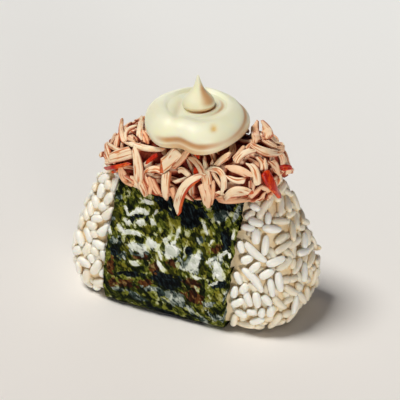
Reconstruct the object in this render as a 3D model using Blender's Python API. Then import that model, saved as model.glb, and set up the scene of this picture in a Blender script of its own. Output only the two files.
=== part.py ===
"""Onigiri: a pressed block of rice in a strip of nori, topped with shredded crab and a dollop of mayonnaise.

The block stands on the strip, its long side along X and its front at -Y. The origin is on the floor, under
the middle of the block. The block is a closed-form shape, and the strip and the shreds are raised from it.
"""

import math

import bmesh
import bpy
from mathutils import Vector, noise

MM = 0.001

# The rice block, to the outer side of its grains
BLOCK_TOP = 54.5 * MM
HALF_LENGTH = 46.0 * MM  # both half sizes are those of the untapered block
HALF_DEPTH = 24.6 * MM
LENGTH_TAPER = 0.38  # share of the half length lost between the foot and the crown
DEPTH_TAPER = 0.65
TAPER_POWER = 0.9
CORNER_POWER = 4.2  # a higher power makes the upright corners squarer
CROWN_POWER = 4.2  # and the shoulders of the crown
FOOT_HEIGHT = 0.45  # share of the height over which the foot rounds in
FOOT_INSET = 0.275  # share of the half sizes that it loses
GRAIN_RELIEF = 0.7 * MM
GRAIN_PITCH = 5.0 * MM

# The nori strip, which runs up the front, under the foot and up the back
NORI_WIDTH = 43.6 * MM
NORI_THICKNESS = 0.4 * MM
NORI_END = 46.5 * MM  # height of both ends, under the shreds
NORI_SHIFT_LOW = -1.2 * MM  # the strip was wrapped a little askew
NORI_SHIFT_HIGH = 1.1 * MM
CRINKLE = 0.45 * MM
CRINKLE_PITCH = 7.0 * MM

# The shreds' heap
HEAP_EDGE = 45.6 * MM
HEAP_EDGE_DROP = 6.6 * MM  # the edge hangs lower on the broad faces than at the ends
HEAP_EDGE_WAVE = 1.5 * MM
HEAP_RIM = 1.7 * MM
HEAP_THICKNESS = 3.4 * MM
RIGHT_PILE = 5.0 * MM
LEFT_PILE = 1.6 * MM
PILE_PLACE = 25.0 * MM
PILE_REACH = 9.0 * MM
SHRED_RELIEF = 1.1 * MM
SHRED_PITCH = 4.5 * MM
BANK_SLOPE = 1.6

# The mayonnaise
MAYO_CENTRE = Vector((0.7 * MM, -0.9 * MM, 0))
MAYO_RADIUS = 16.4 * MM
MAYO_THICKNESS = 6.2 * MM
MAYO_ROUND = 0.17  # share of the radius over which the body's side bulges
MAYO_DOME = 0.0045 / MM  # its top is nearly flat
SEAT_TOP = 58.0 * MM  # height of its underside, which sags down over the heap towards its rim
SEAT_SAG_ALONG = 0.006 / MM
SEAT_SAG_ACROSS = 0.014 / MM
PEAK_PLACE = Vector((0.2 * MM, 1.2 * MM, 0))
PEAK_RADIUS = 5.4 * MM
PEAK_HEIGHT = 9.5 * MM
FOLD_RADIUS = 6.8 * MM
FOLD_HEIGHT = 0.8 * MM
PEAK_LEAN = Vector((-0.6 * MM, -0.4 * MM, 0))

GAP = 0.4 * MM
FOOT_LEVEL = NORI_THICKNESS + GAP
NORI_OUTER = GAP + NORI_THICKNESS
VIEW_RIGHT = math.radians(26.5)  # the dollop's outline is turned by this about Z


# ---------------------------------------------------------------- tools


def clear_scene():
    for obj in list(bpy.data.objects):
        bpy.data.objects.remove(obj, do_unlink=True)


def make_material(name, color, roughness):
    """A plain non-metallic Principled material."""
    material = bpy.data.materials.new(name)
    material.use_nodes = True
    shader = material.node_tree.nodes["Principled BSDF"]
    shader.inputs["Base Color"].default_value = (*color, 1.0)
    shader.inputs["Roughness"].default_value = roughness
    shader.inputs["Metallic"].default_value = 0.0
    return material


def smooth_step(edge_low, edge_high, value):
    share = min(1.0, max(0.0, (value - edge_low) / (edge_high - edge_low)))
    return share * share * (3.0 - 2.0 * share)


def bump(point, pitch, seed):
    """Smooth noise from -1 to 1, with bumps about one pitch apart."""
    return noise.noise(point / pitch + Vector((seed, 2.7 * seed, -1.3 * seed)))


def superellipse(angle, power):
    """The point at an angle on the unit superellipse, spaced evenly enough for a mesh."""
    c, s = math.cos(angle), math.sin(angle)
    reach = (abs(c) ** power + abs(s) ** power) ** (-1.0 / power)
    return reach * c, reach * s


def loft(name, rings, start_pole, end_pole, material):
    """One closed body from rings of points, counter-clockwise seen from the end pole, and a point at each end."""
    mesh = bmesh.new()
    loops = [[mesh.verts.new(point) for point in ring] for ring in rings]
    count = len(loops[0])
    for lower, upper in zip(loops, loops[1:]):
        for i in range(count):
            j = (i + 1) % count
            mesh.faces.new((lower[i], lower[j], upper[j], upper[i]))
    start = mesh.verts.new(start_pole)
    end = mesh.verts.new(end_pole)
    for i in range(count):
        j = (i + 1) % count
        mesh.faces.new((start, loops[0][j], loops[0][i]))
        mesh.faces.new((end, loops[-1][i], loops[-1][j]))
    return add_object(name, mesh, material)


def add_object(name, mesh, material):
    bmesh.ops.recalc_face_normals(mesh, faces=mesh.faces)
    data = bpy.data.meshes.new(name)
    mesh.to_mesh(data)
    mesh.free()
    data.shade_smooth()
    data.materials.append(material)
    obj = bpy.data.objects.new(name, data)
    bpy.context.scene.collection.objects.link(obj)
    return obj


# ---------------------------------------------------------------- rice block


def waist(share):
    """Half length and half depth at a share of the block's height, with no rounding of the crown."""
    share = min(1.0, max(0.0, share))
    taper = share**TAPER_POWER
    foot = 1.0
    if share < FOOT_HEIGHT:
        foot -= FOOT_INSET * (1.0 - math.sqrt(1.0 - (1.0 - share / FOOT_HEIGHT) ** 2))
    return (
        HALF_LENGTH * (1.0 - LENGTH_TAPER * taper) * foot,
        HALF_DEPTH * (1.0 - DEPTH_TAPER * taper) * foot,
    )


def height_share(z):
    return min(1.0, max(0.0, (z - FOOT_LEVEL) / (BLOCK_TOP - FOOT_LEVEL)))


def level(point):
    """1 on the block's surface, less inside it and more outside."""
    share = height_share(point.z)
    half_length, half_depth = waist(share)
    reach = (
        abs(point.x / half_length) ** CORNER_POWER
        + abs(point.y / half_depth) ** CORNER_POWER
    ) ** (1.0 / CORNER_POWER)
    return reach**CROWN_POWER + share**CROWN_POWER


def outward(point):
    """The block's unit normal at a point on its surface, from differences of its level."""
    step = 0.05 * MM
    slope = Vector(
        [
            level(point + step * axis) - level(point - step * axis)
            for axis in (Vector((1, 0, 0)), Vector((0, 1, 0)), Vector((0, 0, 1)))
        ]
    )
    return slope.normalized()


def block_point(angle, rise):
    """The block's surface, round from +X, and up from the foot at rise 0 to the crown at rise 1."""
    crown, share = superellipse(0.5 * math.pi * rise**1.5, CROWN_POWER)
    half_length, half_depth = waist(share)
    x, y = superellipse(angle, CORNER_POWER)
    z = FOOT_LEVEL + share * (BLOCK_TOP - FOOT_LEVEL)
    return Vector((crown * half_length * x, crown * half_depth * y, z))


def make_rice(material):
    sides, levels, foot_rings = 68, 24, 3
    rings = []
    for k in range(1, foot_rings + 1):
        shrink = k / (foot_rings + 1)
        ring = [block_point(math.tau * i / sides, 0.0) for i in range(sides)]
        rings.append([Vector((shrink * p.x, shrink * p.y, p.z)) for p in ring])
    for k in range(levels):
        ring = []
        for i in range(sides):
            point = block_point(math.tau * i / sides, k / levels)
            dent = 0.5 - 0.5 * bump(point, GRAIN_PITCH, 3.0)
            dent *= GRAIN_RELIEF * smooth_step(0.0, 0.1, k / levels)
            ring.append(point - dent * outward(point))
        rings.append(ring)
    top = Vector((0, 0, BLOCK_TOP - 0.3 * GRAIN_RELIEF))
    return loft("rice_block", rings, Vector((0, 0, FOOT_LEVEL)), top, material)


# ---------------------------------------------------------------- nori strip


def strip_point(across, along):
    """A point on the block where the strip lies: across from -1 to 1, along from the front end at -1,
    under the foot at 0, to the back end at 1."""
    under = 0.16
    side = -1.0 if along < 0 else 1.0
    climb = max(0.0, abs(along) - under) / (1.0 - under)
    share = climb**1.35 * height_share(NORI_END)
    shift = NORI_SHIFT_LOW + (NORI_SHIFT_HIGH - NORI_SHIFT_LOW) * share
    x = 0.5 * NORI_WIDTH * across + shift
    half_length, half_depth = waist(share)
    crown = (1.0 - share**CROWN_POWER) ** (1.0 / CROWN_POWER)
    inset = (1.0 - abs(x / (crown * half_length)) ** CORNER_POWER) ** (1.0 / CORNER_POWER)
    y = side * crown * half_depth * inset
    if climb == 0.0:
        y *= abs(along) / under
    return Vector((x, y, FOOT_LEVEL + share * (BLOCK_TOP - FOOT_LEVEL))), climb


def make_nori(material):
    """A closed sheet: an inner and an outer grid, joined round their edge."""
    columns, rows = 12, 46
    mesh = bmesh.new()
    inner, outer = [], []
    for r in range(rows + 1):
        inner_row, outer_row = [], []
        for c in range(columns + 1):
            point, climb = strip_point(2.0 * c / columns - 1.0, 2.0 * r / rows - 1.0)
            normal = outward(point) if climb > 0.0 else Vector((0, 0, -1))
            crinkle = 0.5 + 0.5 * bump(point, CRINKLE_PITCH, 8.0)
            crinkle *= CRINKLE * smooth_step(0.08, 0.25, climb) * smooth_step(0.82, 0.6, climb)
            lift = GAP + crinkle
            inner_row.append(mesh.verts.new(point + lift * normal))
            outer_row.append(mesh.verts.new(point + (lift + NORI_THICKNESS) * normal))
        inner.append(inner_row)
        outer.append(outer_row)
    for r in range(rows):
        for c in range(columns):
            corners = ((r, c), (r, c + 1), (r + 1, c + 1), (r + 1, c))
            mesh.faces.new([outer[i][j] for i, j in corners])
            mesh.faces.new([inner[i][j] for i, j in reversed(corners)])
    edge = [(0, c) for c in range(columns)]
    edge += [(r, columns) for r in range(rows)]
    edge += [(rows, c) for c in range(columns, 0, -1)]
    edge += [(r, 0) for r in range(rows, 0, -1)]
    for here, there in zip(edge, edge[1:] + edge[:1]):
        mesh.faces.new(
            (
                inner[here[0]][here[1]],
                inner[there[0]][there[1]],
                outer[there[0]][there[1]],
                outer[here[0]][here[1]],
            )
        )
    return add_object("nori_strip", mesh, material)


# ---------------------------------------------------------------- shreds


def seat_height(x, y):
    """The mayonnaise's underside, a shallow dome that the shreds under it keep below."""
    dx, dy = x - MAYO_CENTRE.x, y - MAYO_CENTRE.y
    return SEAT_TOP - SEAT_SAG_ALONG * dx * dx - SEAT_SAG_ACROSS * dy * dy


def heap_edge_rise(angle):
    """The rise at which the heap's lower edge lies, at an angle round the block."""
    s = math.sin(angle)
    edge = HEAP_EDGE - HEAP_EDGE_DROP * s * s
    edge += HEAP_EDGE_WAVE * (0.6 * math.sin(5.0 * angle + 1.0) + 0.4 * math.sin(11.0 * angle))
    low, high = 0.0, 1.0
    for _ in range(30):
        middle = 0.5 * (low + high)
        if block_point(angle, middle).z < edge:
            low = middle
        else:
            high = middle
    return low


def heap_underside(point):
    """How far the heap's underside stands off the block, more where it lies over the strip."""
    off_strip = abs(point.x) - 0.5 * NORI_WIDTH
    over_strip = 1.0 - smooth_step(1.6 * MM, 3.2 * MM, off_strip)
    over_strip *= 1.0 - smooth_step(NORI_END + 1.0 * MM, NORI_END + 3.0 * MM, point.z)
    return GAP + NORI_OUTER * over_strip


def heap_thickness(point, inland):
    """The heap's thickness, inland from 0 at its edge to 1 at the crown."""
    right = math.exp(-(((point.x - PILE_PLACE) / PILE_REACH) ** 2))
    left = math.exp(-(((point.x + PILE_PLACE) / PILE_REACH) ** 2))
    full = HEAP_THICKNESS + RIGHT_PILE * right + LEFT_PILE * left
    shape = math.sqrt(smooth_step(-0.05, 0.45, inland))
    lumps = SHRED_RELIEF * bump(point, SHRED_PITCH, 5.0) * smooth_step(0.0, 0.15, inland)
    return HEAP_RIM + (full - HEAP_RIM) * shape + lumps


def under_mayo(point):
    """The point, lowered where it would reach the mayonnaise. The heap may bank up beside it."""
    distance = (Vector((point.x, point.y, 0)) - MAYO_CENTRE).length
    bank = BANK_SLOPE * max(0.0, distance - 1.1 * MAYO_RADIUS)
    limit = seat_height(point.x, point.y) - GAP + bank
    return Vector((point.x, point.y, min(point.z, limit)))


def make_heap(material):
    sides, inner_rings, outer_rings = 60, 11, 13
    edges = [heap_edge_rise(math.tau * i / sides) for i in range(sides)]

    def surface_ring(inland, thickness_of):
        ring = []
        for i, edge in enumerate(edges):
            point = block_point(math.tau * i / sides, edge + (1.0 - edge) * inland)
            stand_off = heap_underside(point) + thickness_of(point, inland)
            ring.append(under_mayo(point + stand_off * outward(point)))
        return ring

    rings = [
        surface_ring(1.0 - k / inner_rings, lambda point, inland: 0.0)
        for k in range(1, inner_rings + 1)
    ]
    rings += [surface_ring(k / outer_rings, heap_thickness) for k in range(outer_rings)]
    crown = Vector((0, 0, BLOCK_TOP))
    top = under_mayo(crown + Vector((0, 0, GAP + HEAP_THICKNESS)))
    return loft("shred_heap", rings, crown + Vector((0, 0, GAP)), top, material)


# ---------------------------------------------------------------- mayonnaise


def mayo_outline(angle):
    """The dollop's radius at an angle round it, from VIEW_RIGHT: two lobes at the front, a bay between them."""
    degrees = math.degrees(angle) % 360.0
    bay = math.exp(-(((degrees - 249.0) / 14.0) ** 2))
    right_lobe = math.exp(-(((degrees - 288.0) / 26.0) ** 2))
    stretch = 1.0 - 0.04 * math.cos(2.0 * angle)
    return MAYO_RADIUS * (stretch - 0.17 * bay + 0.06 * right_lobe)


def mayo_ring(sides, scale, up):
    """A ring of the dollop's body at a scale of its outline, up from its seat at 0 to its top at 1."""
    ring = []
    for i in range(sides):
        angle = math.tau * i / sides
        reach = scale * mayo_outline(angle)
        x = MAYO_CENTRE.x + reach * math.cos(angle + VIEW_RIGHT)
        y = MAYO_CENTRE.y + reach * math.sin(angle + VIEW_RIGHT)
        top = SEAT_TOP + MAYO_THICKNESS - MAYO_DOME * reach * reach
        ring.append(Vector((x, y, (1.0 - up) * seat_height(x, y) + up * top)))
    return ring


def peak_ring(sides, radius, height, up=0.0):
    """A round ring of the peak, at a height over the middle of the body and up along its lean."""
    centre = MAYO_CENTRE + PEAK_PLACE + up * up * PEAK_LEAN
    ring = []
    for i in range(sides):
        angle = math.tau * i / sides + VIEW_RIGHT
        x = centre.x + radius * math.cos(angle)
        y = centre.y + radius * math.sin(angle)
        ring.append(Vector((x, y, SEAT_TOP + MAYO_THICKNESS + height)))
    return ring


def peak_profile(up):
    """The drop's radius as a share of its foot's, drawn in from a full foot to a fine point."""
    return (1.0 - up) ** 1.5 + 0.25 * math.sin(math.pi * min(1.0, 1.9 * up))


def make_mayo(material):
    """A flat round body with a bulging side, then a fold, and a drop drawn out to a point."""
    sides, side_rings, peak_rings = 44, 9, 12
    flat = 1.0 - MAYO_ROUND
    rings = [mayo_ring(sides, scale * flat, 0.0) for scale in (0.35, 0.7)]
    for k in range(side_rings + 1):
        turn = math.pi * (k / side_rings - 0.5)
        rings.append(mayo_ring(sides, flat + MAYO_ROUND * math.cos(turn), 0.5 + 0.5 * math.sin(turn)))
    rings.append(mayo_ring(sides, 0.62, 1.0))
    rings.append(peak_ring(sides, 1.1 * FOLD_RADIUS, -0.15 * MM))
    rings.append(peak_ring(sides, FOLD_RADIUS, 0.6 * FOLD_HEIGHT))
    rings.append(peak_ring(sides, 1.06 * PEAK_RADIUS, 0.8 * FOLD_HEIGHT))
    for k in range(peak_rings):
        up = k / peak_rings
        rings.append(peak_ring(sides, PEAK_RADIUS * peak_profile(up), FOLD_HEIGHT + up * PEAK_HEIGHT, up))
    seat = Vector((MAYO_CENTRE.x, MAYO_CENTRE.y, SEAT_TOP))
    tip = MAYO_CENTRE + PEAK_PLACE + PEAK_LEAN
    tip.z = SEAT_TOP + MAYO_THICKNESS + FOLD_HEIGHT + PEAK_HEIGHT
    return loft("mayonnaise", rings, seat, tip, material)


def main():
    clear_scene()
    make_rice(make_material("cooked_rice", (0.78, 0.72, 0.60), 0.45))
    make_nori(make_material("nori", (0.035, 0.06, 0.02), 0.35))
    make_heap(make_material("shredded_crab", (0.72, 0.38, 0.24), 0.5))
    make_mayo(make_material("mayonnaise", (0.83, 0.77, 0.52), 0.25))


main()
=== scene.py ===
# An onigiri's looks: rice grains on a sticky core, a crinkled strip of nori, fibrous shreds of crab with
# flakes of its red skin, and a dollop of mayonnaise. Lengths are in millimetres: join() turns them into the
# frame's metres, and a finish's sizes are in millimetres too.

import math
import random

import bmesh
import bpy
from mathutils import Matrix, Vector, noise
from mathutils.bvhtree import BVHTree


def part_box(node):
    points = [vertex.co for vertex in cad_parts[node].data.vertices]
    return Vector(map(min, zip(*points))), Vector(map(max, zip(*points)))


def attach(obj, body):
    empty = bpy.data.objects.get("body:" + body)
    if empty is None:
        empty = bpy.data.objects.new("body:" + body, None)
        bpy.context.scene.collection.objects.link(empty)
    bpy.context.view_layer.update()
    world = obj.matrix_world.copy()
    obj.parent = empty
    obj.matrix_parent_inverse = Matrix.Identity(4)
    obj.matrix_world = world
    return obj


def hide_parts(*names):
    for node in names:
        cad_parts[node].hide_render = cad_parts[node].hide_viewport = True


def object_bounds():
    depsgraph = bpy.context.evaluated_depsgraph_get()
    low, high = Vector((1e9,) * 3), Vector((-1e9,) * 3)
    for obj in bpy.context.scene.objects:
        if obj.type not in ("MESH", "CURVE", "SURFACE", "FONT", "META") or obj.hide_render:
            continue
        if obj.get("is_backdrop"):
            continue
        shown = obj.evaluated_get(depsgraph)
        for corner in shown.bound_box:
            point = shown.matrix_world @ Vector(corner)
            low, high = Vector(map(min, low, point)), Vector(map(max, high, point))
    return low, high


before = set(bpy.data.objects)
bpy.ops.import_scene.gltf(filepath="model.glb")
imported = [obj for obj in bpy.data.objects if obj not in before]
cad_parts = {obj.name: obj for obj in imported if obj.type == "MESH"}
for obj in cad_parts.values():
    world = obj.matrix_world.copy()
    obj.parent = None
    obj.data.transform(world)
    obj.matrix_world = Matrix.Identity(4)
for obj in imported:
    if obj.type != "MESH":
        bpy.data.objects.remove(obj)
cad_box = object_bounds()

MM = 0.001
UP = Vector((0, 0, 1))

# The side the onigiri is shown from: its broad front, a little from the right and above
SHOWN_AZIMUTH = math.radians(26.5)
SHOWN_ELEVATION = math.radians(26.8)
SHOWN_RIGHT = Vector((math.cos(SHOWN_AZIMUTH), math.sin(SHOWN_AZIMUTH), 0))
SHOWN_BACK = Vector(
    (
        math.sin(SHOWN_AZIMUTH) * math.cos(SHOWN_ELEVATION),
        -math.cos(SHOWN_AZIMUTH) * math.cos(SHOWN_ELEVATION),
        math.sin(SHOWN_ELEVATION),
    )
)
SHOWN_UP = SHOWN_BACK.cross(SHOWN_RIGHT)


# ---------------------------------------------------------------- shapes


def smooth_step(low, high, value):
    """0 where a value is at low and 1 where it is at high, with a smooth rise between."""
    share = min(1.0, max(0.0, (value - low) / (high - low)))
    return share * share * (3.0 - 2.0 * share)


def swell(away, size):
    """1 in the middle of a swelling, fading to nothing at about twice its size away."""
    return math.exp(-((away / size) ** 2))


def lumps(point, size, seed=0.0):
    """Smooth noise from -1 to 1, with lumps about one size across."""
    return noise.noise(point / size + Vector((seed, 1.7 * seed, -2.3 * seed)))


def node_tree(*names):
    """The outer faces of some nodes of the frame, for finding where a thing lies on them."""
    points, faces = [], []
    for name in names:
        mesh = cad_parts[name].data
        start = len(points)
        points += [vertex.co / MM for vertex in mesh.vertices]
        faces += [[start + i for i in face.vertices] for face in mesh.polygons]
    return BVHTree.FromPolygons(points, faces)


RICE = node_tree("rice_block")
NORI = node_tree("nori_strip")
SHREDS = node_tree("shred_heap")
OUTSIDE = node_tree("rice_block", "nori_strip", "shred_heap")
MAYO = node_tree("mayonnaise")
MAYO_LOW, MAYO_HIGH = (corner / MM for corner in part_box("mayonnaise"))
MAYO_MIDDLE = (MAYO_LOW + MAYO_HIGH) / 2


def soft_normal(tree, point, reach):
    """The mean normal of the faces within a reach of a point."""
    total = Vector()
    for _, normal, _, distance in tree.find_nearest_range(point, reach):
        total += normal * (reach - distance)
    return total.normalized()


class Stock:
    """The points, faces and named values of one joined piece."""

    def __init__(self, *names):
        self.points, self.faces = [], []
        self.values = {name: [] for name in names}

    def add(self, point, **values):
        self.points.append(point)
        for name, value in values.items():
            self.values[name].append(value)
        return len(self.points) - 1

    def tube(self, rings):
        """Joins rings of point numbers into one closed body, flat at its ends."""
        count = len(rings[0])
        for lower, upper in zip(rings, rings[1:]):
            for i in range(count):
                j = (i + 1) % count
                self.faces.append((lower[i], lower[j], upper[j], upper[i]))
        self.faces.append(tuple(reversed(rings[0])))
        self.faces.append(tuple(rings[-1]))

    def join(self, name, finish):
        mesh = bpy.data.meshes.new(name)
        mesh.from_pydata([point * MM for point in self.points], [], self.faces)
        for label, numbers in self.values.items():
            mesh.attributes.new(label, "FLOAT", "POINT").data.foreach_set("value", numbers)
        return place(name, mesh, finish)


def place(name, mesh, finish):
    mesh.shade_smooth()
    mesh.materials.append(finish.material)
    piece = bpy.data.objects.new(name, mesh)
    bpy.context.scene.collection.objects.link(piece)
    return piece


def serve(piece, slot, *nodes):
    """The piece goes with the frame's one body and stands for some nodes. The slot is not used."""
    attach(piece, "root")
    if nodes:
        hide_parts(*nodes)


# ---------------------------------------------------------------- finishes


class Wire:
    """A node's output. Arithmetic on it adds Math nodes to the same finish."""

    def __init__(self, finish, socket):
        self.finish, self.socket = finish, socket

    def math(self, operation, first, second):
        return self.finish.add("ShaderNodeMath", {"operation": operation}, {0: first, 1: second})

    def __add__(self, other):
        return self.math("ADD", self, other)

    def __sub__(self, other):
        return self.math("SUBTRACT", self, other)

    def __rsub__(self, other):
        return self.math("SUBTRACT", other, self)

    def __mul__(self, other):
        return self.math("MULTIPLY", self, other)

    __radd__ = __add__
    __rmul__ = __mul__


class Finish:
    """A material with one Principled shader, and the nodes that feed it."""

    def __init__(self, name, **constants):
        self.material = bpy.data.materials.new(name)
        self.material.use_nodes = True
        self.tree = self.material.node_tree
        self.shader = self.tree.nodes["Principled BSDF"]
        for label, value in constants.items():
            self.feed(label.replace("_", " "), value)

    def add(self, kind, settings, sockets, output=0):
        """Adds a node: its settings first, then its sockets' values or links. Returns one output."""
        node = self.tree.nodes.new(kind)
        for name, value in settings.items():
            if name == "stops":
                self.set_stops(node.color_ramp, value)
            else:
                setattr(node, name, value)
        for key, value in sockets.items():
            self.join(self.socket(node.inputs, key), value)
        return Wire(self, self.socket(node.outputs, output))

    def feed(self, label, value):
        """Joins a value or a wire to one of the Principled shader's inputs."""
        self.join(self.shader.inputs[label], value)

    def join(self, socket, value):
        if isinstance(value, Wire):
            self.tree.links.new(value.socket, socket)
        elif socket.type == "RGBA":
            socket.default_value = (*value, 1.0)
        else:
            socket.default_value = value

    @staticmethod
    def socket(sockets, key):
        if isinstance(key, int):
            return sockets[key]
        return next(s for s in sockets if s.name == key and s.enabled)

    @staticmethod
    def set_stops(ramp, stops):
        while len(ramp.elements) < len(stops):
            ramp.elements.new(0.5)
        for element, (place_on_ramp, color) in zip(ramp.elements, stops):
            element.position = place_on_ramp
            element.color = (*color, 1.0)

    def where(self, size, turn=(0, 0, 0)):
        """Places on the food, counted in lumps of a size: one length, or one for each axis."""
        lengths = size if isinstance(size, tuple) else (size,) * 3
        place_in_frame = self.add("ShaderNodeTexCoord", {}, {}, "Object")
        turned = self.add("ShaderNodeMapping", {}, {"Vector": place_in_frame, "Rotation": turn})
        scale = tuple(1.0 / (MM * length) for length in lengths)
        return self.add("ShaderNodeVectorMath", {"operation": "MULTIPLY"}, {0: turned, 1: scale})

    def mottle(self, size, detail=2.0, roughness=0.5, turn=(0, 0, 0), distortion=0.0):
        """Noise from 0 to 1 with lumps of a size."""
        sockets = {
            "Vector": self.where(size, turn),
            "Scale": 1.0,
            "Detail": detail,
            "Roughness": roughness,
            "Distortion": distortion,
        }
        return self.add("ShaderNodeTexNoise", {}, sockets, 0)

    def step(self, value, low, high):
        """0 where a value is under low and 1 over high, with a soft edge between."""
        settings = {"interpolation_type": "SMOOTHSTEP"}
        return self.add("ShaderNodeMapRange", settings, {0: value, 1: low, 2: high})

    def shards(self, size, bend, turn):
        """Three numbers from 0 to 1 for each of many small patches, and the distance to their borders."""
        places = self.where(size, turn)
        wander = self.add("ShaderNodeTexNoise", {}, {"Vector": places, "Scale": 1.4, "Detail": 3.0}, 1)
        spread = self.add("ShaderNodeVectorMath", {"operation": "MULTIPLY"}, {0: wander, 1: (bend,) * 3})
        spots = self.add("ShaderNodeVectorMath", {"operation": "ADD"}, {0: places, 1: spread})
        sockets = {"Vector": spots, "Scale": 1.0}
        cell = self.add("ShaderNodeTexVoronoi", {}, sockets, "Color")
        border = self.add("ShaderNodeTexVoronoi", {"feature": "DISTANCE_TO_EDGE"}, sockets, "Distance")
        numbers = [self.add("ShaderNodeSeparateColor", {}, {0: cell}, channel) for channel in range(3)]
        return [*numbers, border]

    def mark(self, name, ragged):
        """Where a named mark lies, with a ragged edge."""
        return self.step(self.value(name) + ragged * 0.5, -0.04, 0.08)

    def mix(self, share, first, second):
        """The first colour where the share is 0, the second where it is 1."""
        settings = {"data_type": "RGBA"}
        return self.add("ShaderNodeMix", settings, {"Factor": share, "A": first, "B": second}, "Result")

    def ramp(self, value, *stops):
        """A colour for each value, blended between stops of a value and a colour."""
        return self.add("ShaderNodeValToRGB", {"stops": stops}, {0: value})

    def value(self, name):
        """A named value that the piece's points carry."""
        return self.add("ShaderNodeAttribute", {"attribute_name": name}, {}, "Fac")

    def axis(self, letter):
        """How far along one of the frame's axes, in millimetres."""
        place_in_frame = self.add("ShaderNodeTexCoord", {}, {}, "Object")
        return self.add("ShaderNodeSeparateXYZ", {}, {0: place_in_frame}, letter) * (1.0 / MM)

    def relief(self, height, depth):
        """A bump as deep as given where the height goes from 0 to 1."""
        bump = self.add("ShaderNodeBump", {}, {"Height": height, "Distance": depth * MM}, 0)
        self.feed("Normal", bump)


# ---------------------------------------------------------------- rice

CORE_DEPTH = 1.5
BLOCK_MIDDLE = Vector((0, 0, 27))

# Plump white grains laid one by one on the right of the front, from the top down. Each row is right of and
# above the foot's middle, seen from the shown side, then length, width, tilt in degrees and bend.
LAID_GRAINS = (
    (18.2, 26.4, 3.4, 2.3, -30, 0.0),
    (18.4, 21.9, 4.9, 2.7, -20, 0.1),
    (22.1, 23.1, 3.8, 2.2, 88, 0.0),
    (23.2, 19.9, 6.0, 2.7, -8, 0.2),
    (16.2, 20.2, 4.2, 2.3, -12, 0.0),
    (18.5, 17.6, 4.9, 2.9, 88, 0.0),
    (21.3, 14.9, 6.3, 2.4, 84, 0.1),
    (18.3, 12.6, 8.8, 2.6, -42, 0.5),
    (14.0, 14.3, 3.9, 2.4, -78, 0.0),
    (15.8, 10.5, 3.7, 2.7, 20, 0.0),
    (24.5, 10.0, 6.2, 2.7, 21, 0.2),
    (18.2, 8.2, 4.3, 2.4, 42, 0.0),
    (21.8, 6.2, 4.9, 2.6, 31, 0.1),
    (17.8, 4.4, 9.6, 2.7, -50, -0.7),
    (13.2, 4.8, 4.2, 2.3, -65, 0.0),
    (25.6, 3.7, 6.2, 2.7, -80, 0.2),
    (23.2, 2.0, 5.9, 2.3, -80, 0.0),
    (15.0, 1.6, 3.4, 2.7, 62, 0.0),
    (12.1, 0.5, 3.7, 2.4, 76, 0.0),
    (13.1, -2.8, 4.2, 2.5, 26, 0.0),
    (16.2, -1.6, 5.0, 2.5, -70, 0.1),
    (18.9, -1.9, 4.9, 2.7, -82, 0.0),
    (21.9, -1.9, 4.1, 2.5, -46, 0.0),
    (14.2, -6.2, 4.2, 2.5, -28, 0.0),
    (17.4, -5.7, 3.1, 2.2, 0, 0.0),
    (20.4, -5.8, 2.9, 2.3, 80, 0.0),
    (23.1, -5.3, 3.8, 2.5, 78, 0.0),
    (19.1, -8.4, 4.7, 2.4, 15, 0.0),
    (33.8, 16.0, 5.0, 2.7, 86, 0.1),
    (33.6, 6.3, 6.2, 2.7, 88, 0.2),
    (33.3, 12.6, 5.4, 2.6, 16, 0.3),
    (30.6, -3.6, 6.2, 2.3, 80, 0.0),
)


def rice_finish():
    """Moist cooked rice: ivory on top of a grain, with tan painted shade low down between the grains."""
    finish = Finish("cooked_rice_grains", Subsurface_Weight=0.35, Subsurface_Scale=1.2 * MM)
    finish.feed("Subsurface Radius", (1.0, 0.75, 0.5))
    finish.feed("Coat Weight", 0.12)
    finish.feed("Coat Roughness", 0.3)
    tone = finish.value("tone")
    ivory = finish.mix(tone, (0.86, 0.755, 0.56), (0.90, 0.88, 0.79))
    cloudy = finish.step(finish.mottle(1.6, 2.0), 0.35, 0.75)
    grain = finish.mix(cloudy * 0.3, ivory, (0.88, 0.86, 0.80))
    # Painted shade: grains turn tan low down, where they sink between their neighbours.
    painted_gap_shade = finish.step(finish.value("sunk") + finish.mottle(1.1) * 0.3, 0.55, 1.15)
    finish.feed("Base Color", finish.mix(painted_gap_shade * 0.8, grain, (0.85, 0.65, 0.37)))
    finish.feed("Roughness", 0.36 + cloudy * 0.15)
    finish.relief(finish.mottle(0.7, 3.0), 0.05)
    return finish


def core_finish():
    """The sticky mass that fills the block behind its grains, coloured tan as painted shade in the gaps
    between them.
    """
    finish = Finish("cooked_rice_core")
    tan = finish.mix(finish.step(finish.mottle(4.0, 3.0), 0.35, 0.65), (0.86, 0.66, 0.38), (0.90, 0.75, 0.50))
    finish.feed("Base Color", tan)
    finish.feed("Roughness", 0.55 - finish.mottle(1.5) * 0.15)
    finish.relief(finish.mottle(1.2, 3.0), 0.3)
    return finish


def make_rice_core():
    """The block's shape, a little smaller, with soft dents."""
    mesh = bmesh.new()
    bmesh.ops.create_icosphere(mesh, subdivisions=6, radius=1.0)
    for vertex in mesh.verts:
        direction = vertex.co.normalized()
        hit, _, _, _ = RICE.ray_cast(BLOCK_MIDDLE, direction)
        normal = soft_normal(RICE, hit, 2.5)
        dent = 0.35 * lumps(hit, 3.2, 2.0)
        vertex.co = (hit - (CORE_DEPTH + dent) * normal) * MM
    data = bpy.data.meshes.new("rice_core")
    mesh.to_mesh(data)
    mesh.free()
    piece = place("rice_core", data, core_finish())
    serve(piece, "cooked_rice", "rice_block")


def surface_samples(mesh, count, dice):
    """Points spread evenly at random over a node's faces."""
    faces = list(mesh.polygons)
    areas = [face.area for face in faces]
    for face in dice.choices(faces, weights=areas, k=count):
        a, b, c = (mesh.vertices[i].co / MM for i in face.vertices[:3])
        u, v = dice.random(), dice.random()
        if u + v > 1.0:
            u, v = 1.0 - u, 1.0 - v
        yield a + u * (b - a) + v * (c - a), face.normal


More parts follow.
